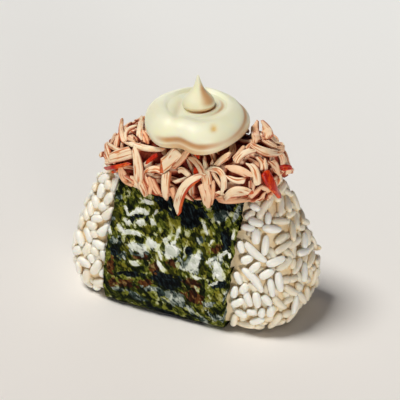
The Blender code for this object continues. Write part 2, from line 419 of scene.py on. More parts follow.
class Crowd:
    """Grains or shreds laid so far, as three points each, so that a new one can be kept clear of them."""

    def __init__(self, cell=8.0):
        self.cell, self.cells = cell, {}

    def key(self, point):
        return tuple(math.floor(c / self.cell) for c in point)

    def near(self, point):
        x, y, z = self.key(point)
        for i in (-1, 0, 1):
            for j in (-1, 0, 1):
                for k in (-1, 0, 1):
                    yield from self.cells.get((x + i, y + j, z + k), ())

    def room(self, spots, width, closeness):
        """Whether a new one is clear of the others. A lower closeness lets them press into each other."""
        middle = spots[1]
        for other, other_width in self.near(middle):
            apart = 0.5 * (width + other_width) * closeness
            if any((p - q).length < apart for p in spots for q in other):
                return False
        return True

    def lay(self, spots, width):
        self.cells.setdefault(self.key(spots[1]), []).append((spots, width))


def rice_shows(point):
    """Whether a grain at this point of the block shows: not under the strip, the shreds or the foot."""
    if point.z < 1.4:
        return False
    beside_front = 0.0 < point.x < 25.0 and point.y < 0.0
    if NORI.find_nearest(point)[3] < (1.9 if beside_front else 1.3):
        return False
    return SHREDS.find_nearest(point)[3] > 0.8


def grain_rings(length, width, bend, turn_count=12, ring_count=8):
    """A grain along +X lying on +Z: rings of points, blunt at one end and slimmer at the other."""
    rings = []
    for k in range(ring_count):
        angle = math.pi * (k + 0.5) / ring_count
        along = -math.cos(angle)
        girth = math.sin(angle) ** 0.62 * (1.0 - 0.08 * along)
        ring = []
        for i in range(turn_count):
            turn = math.tau * i / turn_count
            side = 0.5 * width * girth * math.cos(turn)
            rise = 0.43 * width * girth * math.sin(turn)
            ring.append(Vector((0.5 * length * along, side + bend * (along * along - 0.4), rise)))
        rings.append(ring)
    return rings


def lay_grain(stock, middle, heading, normal, size, bend, tone, sunk):
    """Adds one grain. Its sunk value, the painted shade low on a grain, is 1 down at the core's surface and 0
    on its back.
    """
    side = normal.cross(heading).normalized()
    basis = Matrix((heading, side, normal)).transposed()
    length, width = size
    rings = []
    for ring in grain_rings(length, width, bend):
        numbers = []
        for local in ring:
            low = 0.5 - local.z / width
            numbers.append(stock.add(middle + basis @ local, tone=tone, sunk=low * 0.9 + sunk))
        rings.append(numbers)
    stock.tube(rings)


def spots_of(middle, heading, length, width):
    """Three points that stand for a grain: near its ends and at its middle."""
    reach = 0.5 * max(0.2, length - width) * heading
    return (middle - reach, middle, middle + reach)


def lay_grains_by_hand(stock, crowd):
    """The plump grains of the front, each turned so that its tilt is right from the shown side."""
    for across, up, length, width, tilt, bend in LAID_GRAINS:
        start = across * SHOWN_RIGHT + up * SHOWN_UP + 90.0 * SHOWN_BACK
        point = RICE.ray_cast(start, -SHOWN_BACK)[0]
        normal = soft_normal(RICE, point, 3.0)
        turn = math.radians(tilt)
        heading = math.cos(turn) * SHOWN_RIGHT + math.sin(turn) * SHOWN_UP
        heading -= heading.dot(normal) / max(0.35, SHOWN_BACK.dot(normal)) * SHOWN_BACK
        full_length = length * min(1.3, heading.length)
        heading.normalize()
        middle = point + 0.1 * normal
        spots = spots_of(middle, heading, full_length, width)
        crowd.lay(spots, width)
        lay_grain(stock, middle, heading, normal, (full_length, width), bend, 1.0, 0.0)


def fill_with_grains(stock, crowd, dice, tries, lengths, level, closeness):
    """Lays grains of some lengths at a level above the block's surface, as many as find room."""
    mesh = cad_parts["rice_block"].data
    for point, _ in surface_samples(mesh, tries, dice):
        if not rice_shows(point):
            continue
        normal = soft_normal(RICE, point, 3.0)
        across = normal.orthogonal().normalized()
        heading = Matrix.Rotation(dice.uniform(0.0, math.tau), 3, normal) @ across
        lean = math.radians(dice.gauss(0.0, 8.0))
        normal = Matrix.Rotation(lean, 3, normal.cross(heading)) @ normal
        heading = (heading - heading.dot(normal) * normal).normalized()
        rounder = 1.0 - smooth_step(-24.0, -14.0, point.x)
        length = dice.uniform(*lengths) * (1.0 - 0.2 * rounder)
        width = min(3.0, max(2.2, dice.gauss(2.55, 0.15))) * (1.0 + 0.17 * rounder)
        middle = point + (level + dice.uniform(-0.2, 0.2)) * normal
        spots = spots_of(middle, heading, length, width)
        if min(spot.z for spot in spots) < 0.5 * width + 0.1:
            continue
        if not crowd.room(spots, width, closeness):
            continue
        crowd.lay(spots, width)
        bend = dice.choice((-1, 1)) * dice.uniform(0.0, 0.08) * length
        # Grains grow darker towards the right end, a painted shade of the end turned from the light; the left
        # lobe's grains are paler.
        tone = dice.uniform(0.1, 0.9) * (1.0 - 0.75 * smooth_step(17.0, 27.0, point.x)) + 0.3 * rounder
        # Deeper layers of grains get more painted gap shade.
        lay_grain(stock, middle, heading, normal, (length, width), bend, tone, 0.1 - 0.15 * level)


def make_grains():
    """The laid grains, then three sizes between them, then a layer underneath that shows in the gaps."""
    dice = random.Random(31)
    stock = Stock("tone", "sunk")
    outer = Crowd()
    lay_grains_by_hand(stock, outer)
    fill_with_grains(stock, outer, dice, 1800, (6.0, 7.6), -0.6, 0.84)
    fill_with_grains(stock, outer, dice, 5000, (4.6, 6.0), -0.7, 0.82)
    fill_with_grains(stock, outer, dice, 7000, (3.4, 4.4), -0.8, 0.79)
    fill_with_grains(stock, Crowd(), dice, 2600, (4.5, 6.5), -1.75, 0.95)
    piece = stock.join("rice_grains", rice_finish())
    serve(piece, "cooked_rice")


# ---------------------------------------------------------------- nori

NORI_COLUMNS = 124
NORI_ROWS = 360

# The markings of the strip's front, listed one by one: each row is right of and above the foot's middle, seen
# from the shown side, then half the mark's length and width, and its tilt in degrees. The back has them
# mirrored.
# Pale marks are painted glints: white painted highlights where the sheet shines, raised a little.
PAINTED_GLINT_MARKS = (
    (-15.1, 28.1, 1.9, 0.65, -15),
    (-21.4, 25.9, 1.5, 0.55, -75),
    (-20.7, 24.2, 1.0, 0.7, -30),
    (-19.5, 24.5, 1.3, 0.75, 35),
    (-18.1, 25.2, 1.3, 0.75, 15),
    (-16.6, 25.3, 1.3, 0.75, -12),
    (-15.3, 24.6, 1.1, 0.65, -45),
    (-16.8, 21.6, 1.8, 0.95, 5),
    (-23.5, 19.8, 1.5, 0.6, -50),
    (-21.2, 18.6, 1.9, 0.7, 0),
    (-18.2, 18.2, 2.0, 0.6, -20),
    (-21.3, 21.9, 1.4, 0.65, -45),
    (-12.1, 24.9, 1.1, 0.45, 55),
    (-13.2, 21.6, 1.3, 0.5, -60),
    (-27.0, 19.2, 1.1, 0.4, -80),
    (3.2, 20.1, 2.0, 0.6, -70),
    (5.1, 15.7, 1.0, 0.5, 50),
    (-5.3, 18.2, 1.5, 0.5, 75),
    (-17.8, 14.0, 2.4, 1.2, -15),
    (-13.2, 15.0, 1.7, 1.4, -30),
    (-10.9, 11.8, 1.7, 0.5, -80),
    (-7.0, 13.1, 2.4, 1.8, -10),
    (-18.7, 8.8, 1.7, 0.8, -12),
    (-11.1, 8.4, 1.8, 0.7, -58),
    (-0.6, 9.4, 3.1, 1.4, 65),
    (6.9, 6.7, 2.6, 1.5, -75),
    (8.5, 12.2, 2.3, 0.55, 35),
    (10.3, 11.8, 1.0, 0.45, -80),
    (11.5, 17.6, 1.2, 0.4, 80),
    (0.1, 4.7, 1.5, 0.55, -15),
    (5.8, 3.0, 1.2, 0.5, 20),
    (-9.0, 16.3, 1.2, 0.6, 30),
    (4.6, 10.0, 1.2, 0.6, 30),
)
GREY_MARKS = (
    (-13.7, 0.8, 2.8, 0.9, -5),
    (-7.6, -1.9, 3.9, 2.0, -20),
    (-23.6, 0.1, 3.3, 0.5, -10),
    (-18.5, -1.8, 3.8, 0.7, -25),
    (4.9, -3.4, 2.3, 0.9, 10),
    (-1.7, -5.6, 3.3, 0.8, -40),
    (4.9, -7.3, 2.7, 0.8, -45),
    (8.1, -8.6, 1.9, 0.6, -55),
    (2.7, -8.9, 1.6, 0.6, -40),
    (9.0, -1.6, 1.4, 0.4, 85),
    (-25.0, 16.0, 1.9, 1.2, 10),
    (-22.8, 11.2, 1.6, 1.1, 0),
    (-3.0, 7.9, 1.4, 1.4, 0),
    (7.6, 23.4, 2.4, 2.0, 45),
    (12.7, 24.7, 2.4, 0.6, 70),
    (-23.6, 29.5, 1.5, 0.8, 10),
    (-17.5, 13.6, 3.2, 1.9, -15),
    (-15.0, 12.3, 1.6, 1.2, 0),
    (-6.6, 12.6, 3.2, 2.5, -10),
    (1.3, 16.2, 1.6, 1.0, 20),
    (-0.4, 9.0, 3.6, 2.1, 65),
    (5.9, 9.2, 2.2, 1.3, 40),
    (-26.1, 22.8, 1.1, 0.7, 0),
)
OLIVE_MARKS = (
    (-24.4, 24.2, 4.3, 1.5, 80),
    (-10.9, 26.4, 2.2, 1.4, -40),
    (-7.6, 21.5, 3.3, 1.6, -60),
    (1.9, 19.0, 2.7, 1.9, -40),
    (-21.5, 13.6, 3.0, 1.6, 70),
    (-12.5, 10.9, 2.4, 1.2, -10),
    (-2.5, 16.1, 3.0, 1.9, -30),
    (4.3, 12.8, 2.7, 2.2, 20),
    (-22.8, 7.7, 1.7, 1.4, 0),
    (-6.8, 6.0, 1.9, 1.4, 0),
    (-14.7, 19.3, 1.9, 1.4, 20),
    (7.0, -0.8, 2.2, 2.4, 0),
    (2.7, -5.0, 2.4, 1.2, -30),
    (-5.7, 21.5, 1.5, 1.2, -20),
    (-9.8, 17.6, 2.6, 1.2, 40),
    (2.6, 7.0, 1.4, 2.4, 0),
    (10.8, 5.5, 1.0, 2.2, 0),
)
BROWN_MARKS = (
    (-26.6, 7.9, 2.4, 1.2, 85),
    (-21.5, 2.3, 3.4, 1.4, -10),
    (-12.9, 7.4, 2.4, 1.5, -70),
    (-0.3, 2.9, 3.0, 1.1, -10),
    (-7.5, 9.0, 1.7, 1.0, -30),
    (-26.3, 2.5, 1.4, 1.4, 0),
    (-15.5, 2.7, 2.4, 1.1, 15),
    (-0.3, -1.3, 3.4, 1.9, -20),
    (7.0, 13.9, 2.4, 1.2, 30),
    (-17.4, 10.9, 2.2, 1.0, 10),
)
# Dark marks: the large ones along the top are the painted shadow of the shreds, and the long thin one low at
# the front is a painted shadow along the foot. The rest are dark patches of the sheet.
SHADOW_AND_DARK_MARKS = (
    (-17.4, 23.6, 2.2, 0.7, 0),
    (-19.4, 22.6, 0.9, 1.0, 0),
    (-15.0, 22.8, 0.7, 1.2, 0),
    (-9.0, 3.6, 4.6, 2.4, -15),
    (-25.5, 12.3, 1.6, 1.8, 0),
    (-20.6, 5.2, 4.3, 1.1, -5),
    (7.0, 2.6, 2.7, 1.2, 0),
    (9.4, 16.1, 1.5, 3.6, 0),
    (-1.9, 12.8, 1.0, 1.3, 0),
    (-3.3, 25.3, 7.4, 3.0, -15),
    (-1.7, 21.8, 2.8, 1.9, 0),
    (7.5, 28.2, 8.0, 2.6, -15),
    (-9.3, 28.5, 3.3, 2.7, 0),
    (-9.8, -6.5, 7.0, 0.7, -16),
)


# The seaweed's colours from its darkest to its lightest places, in each kind of patch. The highest stops are
# reached only under the painted shine.
NORI_GREEN = (
    (0.0, (0.001, 0.002, 0.001)),
    (0.32, (0.010, 0.015, 0.002)),
    (0.54, (0.058, 0.072, 0.006)),
    (0.74, (0.24, 0.25, 0.035)),
    (0.92, (0.74, 0.76, 0.52)),
)
NORI_OLIVE = (
    (0.0, (0.006, 0.007, 0.001)),
    (0.4, (0.055, 0.060, 0.004)),
    (0.7, (0.22, 0.20, 0.018)),
    (1.0, (0.60, 0.60, 0.28)),
)
NORI_BROWN = (
    (0.0, (0.002, 0.001, 0.001)),
    (0.4, (0.042, 0.011, 0.004)),
    (0.7, (0.14, 0.050, 0.012)),
    (1.0, (0.34, 0.27, 0.10)),
)
NORI_GREY = (
    (0.0, (0.004, 0.009, 0.009)),
    (0.35, (0.045, 0.070, 0.058)),
    (0.65, (0.26, 0.30, 0.25)),
    (0.92, (0.80, 0.83, 0.72)),
)


def nori_finish():
    """Toasted seaweed: small torn shards from black through olive, brown and grey-green to a painted white
    shine, with painted shadow in some dark marks and painted shade in the creases between the shards.
    """
    finish = Finish("toasted_nori")
    slant = (0.7, 0.5, 0.9)
    tone, first, second, border = finish.shards((1.9, 1.9, 3.2), 0.9, slant)
    fine_tone, third, fourth, fine_border = finish.shards((0.95, 0.95, 2.0), 0.8, (0.3, 1.0, 0.4))
    rough = (finish.mottle((2.0, 2.0, 1.6), 2.0, 0.5, slant) - 0.5) * 1.8
    streaks = finish.mottle((0.6, 0.6, 2.4), 2.0, 0.5, (0.4, 0.7, 0.5))
    light = finish.step(tone * 0.42 + fine_tone * 0.34 + streaks * 0.5, 0.27, 0.92)
    grown = finish.step(finish.mottle((4.0, 4.0, 3.0), 3.0, 0.6, slant), 0.42, 0.58)
    # Painted shine: the pale marks lift the colour towards the top of each ramp.
    painted_shine = finish.step(finish.value("pale") + rough * 0.3, -1.0, 0.2)
    level = light * 0.70 + grown * 0.15 + painted_shine * 0.42
    green, olive, brown, grey = (
        finish.ramp(level, *stops) for stops in (NORI_GREEN, NORI_OLIVE, NORI_BROWN, NORI_GREY)
    )
    with_olive = finish.mix(finish.mark("olive", (first - 0.5) * 1.9 + rough), green, olive)
    with_brown = finish.mix(finish.mark("brown", (third - 0.5) * 1.7 + rough), with_olive, brown)
    with_grey = finish.mix(finish.mark("grey", (second - 0.5) * 1.9 + rough), with_brown, grey)
    # Painted shadow and dark patches: the dark marks turn blue-black.
    shadow_and_dark_black = finish.mix(finish.step(streaks, 0.45, 0.7), (0.001, 0.001, 0.002), (0.020, 0.036, 0.040))
    with_night = finish.mix(finish.mark("dark", (fourth - 0.5) * 1.2 + rough), with_grey, shadow_and_dark_black)
    # Painted shade in the creases: the shards' borders, which the relief also sinks, turn near black.
    crease_shade = 1.0 - finish.step(border + (streaks - 0.45) * 0.6, -0.02, 0.09)
    fine_crease_shade = 1.0 - finish.step(fine_border + (tone - 0.3) * 0.3, 0.0, 0.08)
    with_crease_shade = finish.mix(crease_shade * 0.75 + fine_crease_shade * 0.25, with_night, (0.002, 0.004, 0.002))
    # The pale marks get a white painted highlight, with a lower roughness.
    painted_glint_white = finish.mix(fine_tone, (0.62, 0.66, 0.54), (0.95, 0.96, 0.90))
    flecks = finish.mark("pale", (fourth - 0.5) * 1.0 + (tone - 0.5) * 0.7 + rough * 0.4)
    finish.feed("Base Color", finish.mix(flecks, with_crease_shade, painted_glint_white))
    finish.feed("Roughness", 0.8 - flecks * 0.3)
    finish.feed("Specular IOR Level", 0.08)
    finish.relief(finish.mottle(0.8, 4.0, 0.65) + tone * 0.6 + fine_tone * 0.3 - crease_shade * 0.5, 0.35)
    return finish


def strip_lean():
    """The middle of the strip at its foot and at its top, half its width, and how high its top is."""
    points = [vertex.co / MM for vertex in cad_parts["nori_strip"].data.vertices]
    top = max(point.z for point in points)
    low = [point.x for point in points if point.z < 1.0]
    high = [point.x for point in points if point.z > top - 1.5]
    half_width = 0.5 * (max(low) - min(low))
    return 0.5 * (max(low) + min(low)), 0.5 * (max(high) + min(high)), half_width, top


def strip_angles(count):
    """Directions round the strip's middle section, evenly spaced along it, from the front end to the back."""
    points = []
    steps = 720
    for k in range(steps):
        turn = math.pi * (-0.42 + 1.84 * k / (steps - 1))
        direction = Vector((0, -math.cos(turn), -math.sin(turn)))
        hit = NORI.ray_cast(BLOCK_MIDDLE + 60.0 * direction, -direction)[0]
        if hit is not None and hit.z < STRIP_TOP - 0.8:
            points.append((turn, hit))
    lengths = [0.0]
    for (_, here), (_, there) in zip(points, points[1:]):
        lengths.append(lengths[-1] + (there - here).length)
    turns, place_in_list = [], 0
    for k in range(count):
        target = lengths[-1] * k / (count - 1)
        while place_in_list < len(points) - 2 and lengths[place_in_list + 1] < target:
            place_in_list += 1
        run = lengths[place_in_list + 1] - lengths[place_in_list]
        share = (target - lengths[place_in_list]) / max(run, 1e-9)
        here, there = points[place_in_list][0], points[place_in_list + 1][0]
        turns.append(here + min(1.0, share) * (there - here))
    return turns


STRIP_LOW, STRIP_HIGH, STRIP_HALF, STRIP_TOP = strip_lean()


def strip_middle(z):
    """The strip leans a little, so its middle moves along as it goes up."""
    return STRIP_LOW + (STRIP_HIGH - STRIP_LOW) * z / STRIP_TOP


def on_strip(across, turn):
    """The strip's outer face at a place across it, -1 to 1, and a direction round its section."""
    direction = Vector((0, -math.cos(turn), -math.sin(turn)))
    z = BLOCK_MIDDLE.z
    for _ in range(3):
        x = strip_middle(z) + 0.985 * STRIP_HALF * across
        middle = Vector((x, 0, BLOCK_MIDDLE.z))
        hit = NORI.ray_cast(middle + 60.0 * direction, -direction)[0]
        if hit is None:
            hit = NORI.find_nearest(middle + 23.0 * direction)[0]
        z = hit.z
    return hit


def laid_marks(rows):
    """Marks ready to be measured: middle, half sizes, and the cosine and sine of the tilt."""
    marks = []
    for across, up, half_length, half_width, tilt in rows:
        turn = math.radians(tilt)
        marks.append((across, up, half_length, half_width, math.cos(turn), math.sin(turn)))
    return marks


NORI_MARKS = {
    "pale": laid_marks(PAINTED_GLINT_MARKS),
    "grey": laid_marks(GREY_MARKS),
    "olive": laid_marks(OLIVE_MARKS),
    "brown": laid_marks(BROWN_MARKS),
    "dark": laid_marks(SHADOW_AND_DARK_MARKS),
}


def depth_in_marks(across, up, marks):
    """1 in the middle of a mark, 0 on its edge, and down to -1 away from them all."""
    best = -1.0
    for mark_across, mark_up, half_length, half_width, cosine, sine in marks:
        x, y = across - mark_across, up - mark_up
        if abs(x) < 2.0 * half_length + 1.0 and abs(y) < 2.0 * half_length + 1.0:
            along = (x * cosine + y * sine) / half_length
            beside = (y * cosine - x * sine) / half_width
            best = max(best, 1.0 - math.hypot(along, beside))
    return best


def nori_marks(point):
    """How deep a place of the strip lies in each kind of mark."""
    front = Vector((point.x, -abs(point.y), point.z))
    across, up = front.dot(SHOWN_RIGHT), front.dot(SHOWN_UP)
    return {name: depth_in_marks(across, up, marks) for name, marks in NORI_MARKS.items()}


def crumple(point, size, seed):
    """Small flat blisters with sharp creases between, from 0 in a crease to about 1."""
    near, far = noise.voronoi(point / size + Vector((seed, seed, seed)))[0][:2]
    return min(1.0, 1.6 * (far - near))


def nori_relief(point, marks):
    """How far the crinkled sheet stands off: creases, blisters and curled flecks over a few hollows."""
    crease = 1.0 - 2.0 * abs(lumps(point, 3.6, 4.0))
    relief = 0.25 * crease + 0.40 * lumps(point, 6.5, 1.0) + 0.10 * lumps(point, 0.9, 9.0)
    relief += 0.45 * crumple(point, 3.0, 2.0) + 0.2 * crumple(point, 1.4, 5.0)
    raised = 0.55 * smooth_step(-0.1, 0.5, marks["pale"]) + 0.2 * smooth_step(-0.1, 0.6, marks["grey"])
    return relief + raised - 0.35 * smooth_step(0.0, 0.6, marks["dark"])


def sheet_normal(grid, r, c):
    """The way out of the strip at one place of the grid that lies over it."""
    row = grid[r]
    along = grid[min(r + 2, NORI_ROWS - 1)][c] - grid[max(r - 2, 0)][c]
    across = row[min(c + 2, NORI_COLUMNS - 1)] - row[max(c - 2, 0)]
    normal = across.cross(along).normalized()
    if normal.dot(row[c] - BLOCK_MIDDLE) < 0.0:
        normal.negate()
    return normal


def crinkled(point, normal, to_edge, marks):
    """A place of the sheet moved by its crinkles, and sideways near the strip's wavering edges."""
    free = smooth_step(0.5, 4.0, point.z)
    wander = Vector((0.5 * lumps(point, 2.5, 12.0) + 0.25 * lumps(point, 0.9, 3.0), 0, 0)) * to_edge**6
    return point + free * (0.9 * nori_relief(point, marks) - 0.35) * normal + free * wander


def make_nori():
    """A fine sheet laid over the strip, with crinkles, a wavering edge and a little thickness."""
    columns = [2.0 * c / (NORI_COLUMNS - 1) - 1.0 for c in range(NORI_COLUMNS)]
    grid = [[on_strip(across, turn) for across in columns] for turn in strip_angles(NORI_ROWS)]
    stock = Stock(*NORI_MARKS)
    for r, row in enumerate(grid):
        for c, point in enumerate(row):
            marks = nori_marks(point)
            stock.add(crinkled(point, sheet_normal(grid, r, c), abs(columns[c]), marks), **marks)
    for r in range(NORI_ROWS - 1):
        for c in range(NORI_COLUMNS - 1):
            corner = r * NORI_COLUMNS + c
            stock.faces.append((corner, corner + 1, corner + NORI_COLUMNS + 1, corner + NORI_COLUMNS))
    piece = stock.join("nori_sheet", nori_finish())
    thickness = piece.modifiers.new("thickness", "SOLIDIFY")
    thickness.thickness = 0.3 * MM
    thickness.offset = 1.0
    serve(piece, "nori", "nori_strip")


# ---------------------------------------------------------------- crab shreds

SHRED_VALUES = ("tone", "groove", "flank", "skin", "along", "across")

# A shred's edge that faces this way, away from the light, is the redder one: it gets painted shade
SHADED_WAY = SHOWN_RIGHT - 0.8 * SHOWN_UP

# How far from the mayonnaise's middle the scattered shreds start
MAYO_SHELTER = 9.0

# Shreds laid one by one on the shown side, from the left end to the right. Each row is the shred's width, how
# far it stands off the heap, its tone from 0 (cream) to 1 (salmon), where its skin is red, how wide its two
# ends are beside its middle, and two or three points of its length: right of and above the foot's middle, seen
# from the shown side.
LAID_SHREDS = (
    (2.0, 1.0, 0.4, "left", 1.0, 0.4, ((-21.5, 46.0), (-23.0, 50.0), (-23.0, 54.5))),
    (1.2, 1.6, 0.1, "", 0.8, 0.8, ((-18.0, 51.5), (-21.0, 50.0), (-21.0, 47.0))),
    (2.7, 1.4, 0.0, "", 0.5, 0.3, ((-21.0, 46.5), (-15.0, 44.5), (-9.0, 44.0))),
    (2.1, 1.2, 0.1, "", 1.0, 0.6, ((-17.0, 47.5), (-17.0, 51.0), (-16.5, 54.5))),
    (2.0, 1.0, 0.7, "", 0.9, 0.9, ((-20.5, 48.0), (-18.5, 47.0))),
    (2.3, 0.2, 0.9, "", 0.8, 0.8, ((-17.0, 50.0), (-15.5, 48.0), (-15.0, 46.0))),
    (2.4, 0.8, 0.4, "", 0.6, 0.9, ((-28.0, 46.5), (-27.0, 43.5), (-25.5, 40.0))),
    (1.6, 0.9, 0.2, "", 0.5, 0.8, ((-27.5, 46.5), (-25.5, 45.0), (-23.0, 44.0))),
    (4.3, 0.9, 0.2, "", 0.7, 0.9, ((-26.5, 41.5), (-23.0, 42.5), (-19.0, 43.5))),
    (1.7, 0.4, 0.4, "", 0.9, 0.8, ((-24.5, 45.0), (-24.0, 48.5))),
    (3.5, 2.1, 0.2, "", 0.4, 0.8, ((-19.0, 45.0), (-17.5, 39.5), (-17.5, 34.0))),
    (2.9, 1.5, 0.4, "", 0.9, 0.7, ((-17.2, 35.5), (-16.0, 32.5), (-15.0, 30.0))),
    (3.0, 0.4, 0.9, "", 0.8, 0.6, ((-22.5, 39.0), (-22.0, 35.5), (-19.0, 33.5))),
    (4.6, 2.2, 0.1, "start", 1.0, 0.9, ((-10.5, 38.5), (-7.5, 41.0), (-5.0, 43.5))),
    (2.4, 1.0, 0.9, "", 0.8, 0.7, ((-7.0, 38.5), (-4.0, 41.0), (-2.5, 44.0))),
    (1.0, 1.2, 0.6, "", 0.8, 0.8, ((-3.0, 41.0), (-1.0, 44.5))),
    (2.6, 1.0, 0.1, "", 0.7, 0.7, ((-15.0, 37.0), (-12.0, 38.0), (-8.5, 36.0))),
    (2.0, 0.5, 0.7, "", 0.9, 0.7, ((-15.0, 36.5), (-15.0, 35.0), (-14.0, 33.0))),
    (2.7, 0.8, 0.9, "", 0.9, 0.7, ((-13.5, 35.5), (-12.5, 33.0), (-11.0, 30.5))),
    (1.6, 0.5, 0.8, "", 0.8, 0.8, ((-13.5, 33.5), (-14.0, 30.5))),
    (2.9, 1.6, 0.2, "", 1.0, 0.55, ((-8.5, 37.0), (-9.0, 33.0), (-9.0, 29.0))),
    (2.5, 0.4, 1.0, "right", 0.9, 0.5, ((-7.5, 32.5), (-6.5, 30.5), (-6.0, 28.5))),
    (1.3, 1.0, 0.1, "", 0.8, 0.8, ((-6.5, 34.0), (-4.5, 34.5), (-2.0, 35.5))),
    (2.0, 1.3, 0.2, "", 0.9, 0.8, ((-5.0, 37.5), (-3.5, 37.5), (-1.5, 35.5))),
    (3.7, 2.4, 0.1, "left", 0.6, 0.75, ((2.5, 35.5), (-3.0, 32.5), (-5.5, 25.0))),
    (2.5, 1.7, 0.5, "", 0.6, 0.7, ((-1.5, 41.5), (2.0, 37.5), (3.5, 31.0))),
    (4.0, 1.8, 0.6, "", 0.9, 0.5, ((2.5, 33.5), (3.5, 30.0), (3.5, 26.5))),
    (1.8, 1.3, 0.0, "", 0.7, 0.9, ((2.5, 40.5), (4.0, 37.0), (4.5, 33.0))),
    (2.2, 2.0, 0.1, "", 0.7, 0.8, ((4.0, 38.0), (8.0, 36.5), (8.5, 31.0))),
    (1.3, 1.4, 0.3, "", 0.8, 0.8, ((5.0, 37.5), (6.5, 35.0), (8.0, 32.5))),
    (1.4, 1.2, 0.7, "", 0.8, 0.6, ((5.5, 34.5), (5.5, 31.0), (5.0, 27.5))),
    (2.3, 1.3, 0.2, "", 0.6, 0.9, ((5.5, 38.0), (8.0, 40.5), (10.5, 42.0))),
    (1.6, 1.0, 0.2, "", 0.8, 0.6, ((5.0, 38.5), (5.5, 40.5))),
    (1.3, 1.2, 0.2, "", 0.8, 0.8, ((6.5, 31.0), (9.0, 30.5))),
    (3.2, 1.9, 0.2, "end", 0.5, 0.5, ((9.0, 29.0), (12.5, 31.5), (17.0, 30.5))),
    (2.6, 0.6, 0.9, "", 0.6, 0.6, ((6.5, 29.0), (10.5, 28.5), (16.0, 29.0))),
    (2.1, 1.3, 0.1, "", 0.5, 0.9, ((9.5, 36.0), (12.0, 34.5), (15.0, 34.5))),
    (3.1, 1.2, 0.6, "", 0.5, 0.7, ((9.5, 38.0), (13.0, 37.5), (16.5, 35.5))),
    (2.9, 1.8, 0.2, "", 0.5, 0.8, ((16.0, 39.5), (18.0, 37.0), (18.5, 33.0))),
    (2.1, 1.6, 0.1, "", 0.8, 0.8, ((12.5, 39.5), (14.0, 42.0), (17.5, 43.5))),
    (2.0, 0.8, 0.7, "", 0.8, 0.8, ((11.5, 40.5), (13.0, 42.0), (15.0, 44.5))),
    (3.8, 2.0, 0.3, "", 0.35, 0.35, ((16.5, 45.5), (21.0, 43.0), (26.0, 43.0))),
    (2.9, 1.0, 0.7, "", 0.8, 0.8, ((18.5, 45.5), (18.5, 49.0), (18.5, 52.5))),
    (3.2, 1.0, 0.4, "", 0.6, 0.9, ((20.5, 52.0), (22.0, 50.0), (22.5, 47.5))),
    (2.2, 0.2, 0.5, "", 0.7, 0.7, ((21.0, 46.5), (24.0, 44.5))),
    (1.7, 0.8, 0.3, "", 0.7, 0.7, ((18.5, 41.5), (20.0, 39.5), (20.0, 37.5))),
    (1.6, 1.3, 0.4, "", 0.8, 0.6, ((20.5, 40.5), (21.0, 38.5), (21.0, 36.5))),
    (3.2, 1.0, 0.5, "", 0.5, 0.5, ((22.5, 40.5), (24.0, 39.0), (25.0, 36.0))),
    (1.9, 0.4, 0.5, "", 0.6, 0.6, ((25.0, 43.0), (26.5, 41.0), (26.5, 38.0))),
    (1.3, 0.4, 0.8, "", 0.8, 0.6, ((16.5, 34.5), (16.5, 32.0))),
)

# Flakes of red skin, laid in the same way
LAID_FLAKES = (
    (1.4, 1.2, 0.5, "all", 0.8, 0.7, ((-28.5, 38.5), (-24.0, 39.0), (-20.0, 40.0))),
    (1.2, 0.6, 0.9, "all", 0.7, 0.7, ((-26.0, 37.5), (-23.0, 38.0))),
    (1.3, 1.2, 0.3, "all", 0.7, 0.8, ((-15.0, 40.0), (-13.0, 41.5), (-11.5, 42.5))),
    (3.9, 2.6, 0.4, "all", 0.9, 0.45, ((20.8, 37.0), (22.6, 33.6), (25.8, 29.6))),
    (2.4, 1.2, 0.1, "all", 0.8, 0.5, ((26.0, 38.0), (27.5, 38.5), (29.5, 38.5))),
    (2.2, 1.0, 0.3, "all", 0.6, 0.9, ((0.5, 39.0), (0.5, 36.0))),
    (2.0, 0.2, 0.2, "all", 0.8, 0.8, ((0.5, 43.5), (0.5, 41.5))),
)


def shred_finish():
    """Crab fibres: cream along the ridges, salmon in the grooves, partly the crab's own colour and partly
    painted shade, dark red-brown painted shade on the flanks, and red at the skin.
    """
    finish = Finish("shredded_crab", Subsurface_Weight=0.08, Subsurface_Scale=0.6 * MM)
    finish.feed("Subsurface Radius", (1.0, 0.5, 0.3))
    finish.feed("Specular IOR Level", 0.35)
    tone, groove = finish.value("tone"), finish.value("groove")
    fibre_place = finish.add(
        "ShaderNodeCombineXYZ",
        {},
        {0: finish.value("along") * 0.12, 1: finish.value("across") * 1.5, 2: tone * 40.0},
    )
    fibres = finish.add(
        "ShaderNodeTexNoise", {}, {"Vector": fibre_place, "Scale": 1.0, "Detail": 3.0, "Roughness": 0.6}, 0
    )
    patchy = finish.mottle(2.6, 2.0) - 0.5
    salmon = finish.mix(tone, (0.68, 0.24, 0.085), (0.52, 0.12, 0.05))
    pale = finish.mix(tone, (0.94, 0.78, 0.54), (0.88, 0.50, 0.28))
    tinted = finish.mix(tone, (0.90, 0.56, 0.25), (0.84, 0.34, 0.13))
    cream = finish.mix(finish.step(patchy + (fibres - 0.5) * 0.5, 0.0, 0.2) * 0.6, pale, tinted)
    # Salmon in the grooves: partly the crab's own colour and partly painted shade.
    in_groove = finish.step(groove + (fibres - 0.5) * 1.9 + patchy * 0.6, 0.40, 0.95)
    flesh = finish.mix(in_groove, cream, salmon)
    # Painted shade: the flanks turn dark red-brown.
    flank = finish.step(finish.value("flank") + (fibres - 0.5) * 0.5, 0.25, 0.85)
    with_flank_shade = finish.mix(flank * 0.92, flesh, (0.50, 0.10, 0.035))
    red = finish.mix(finish.step(fibres, 0.4, 0.65), (0.50, 0.045, 0.012), (0.82, 0.20, 0.04))
    skin = finish.step(finish.value("skin") + (fibres - 0.5) * 0.5, 0.4, 0.75)
    finish.feed("Base Color", finish.mix(skin, with_flank_shade, red))
    finish.feed("Roughness", 0.52 - fibres * 0.12)
    finish.relief(fibres, 0.15)
    return finish


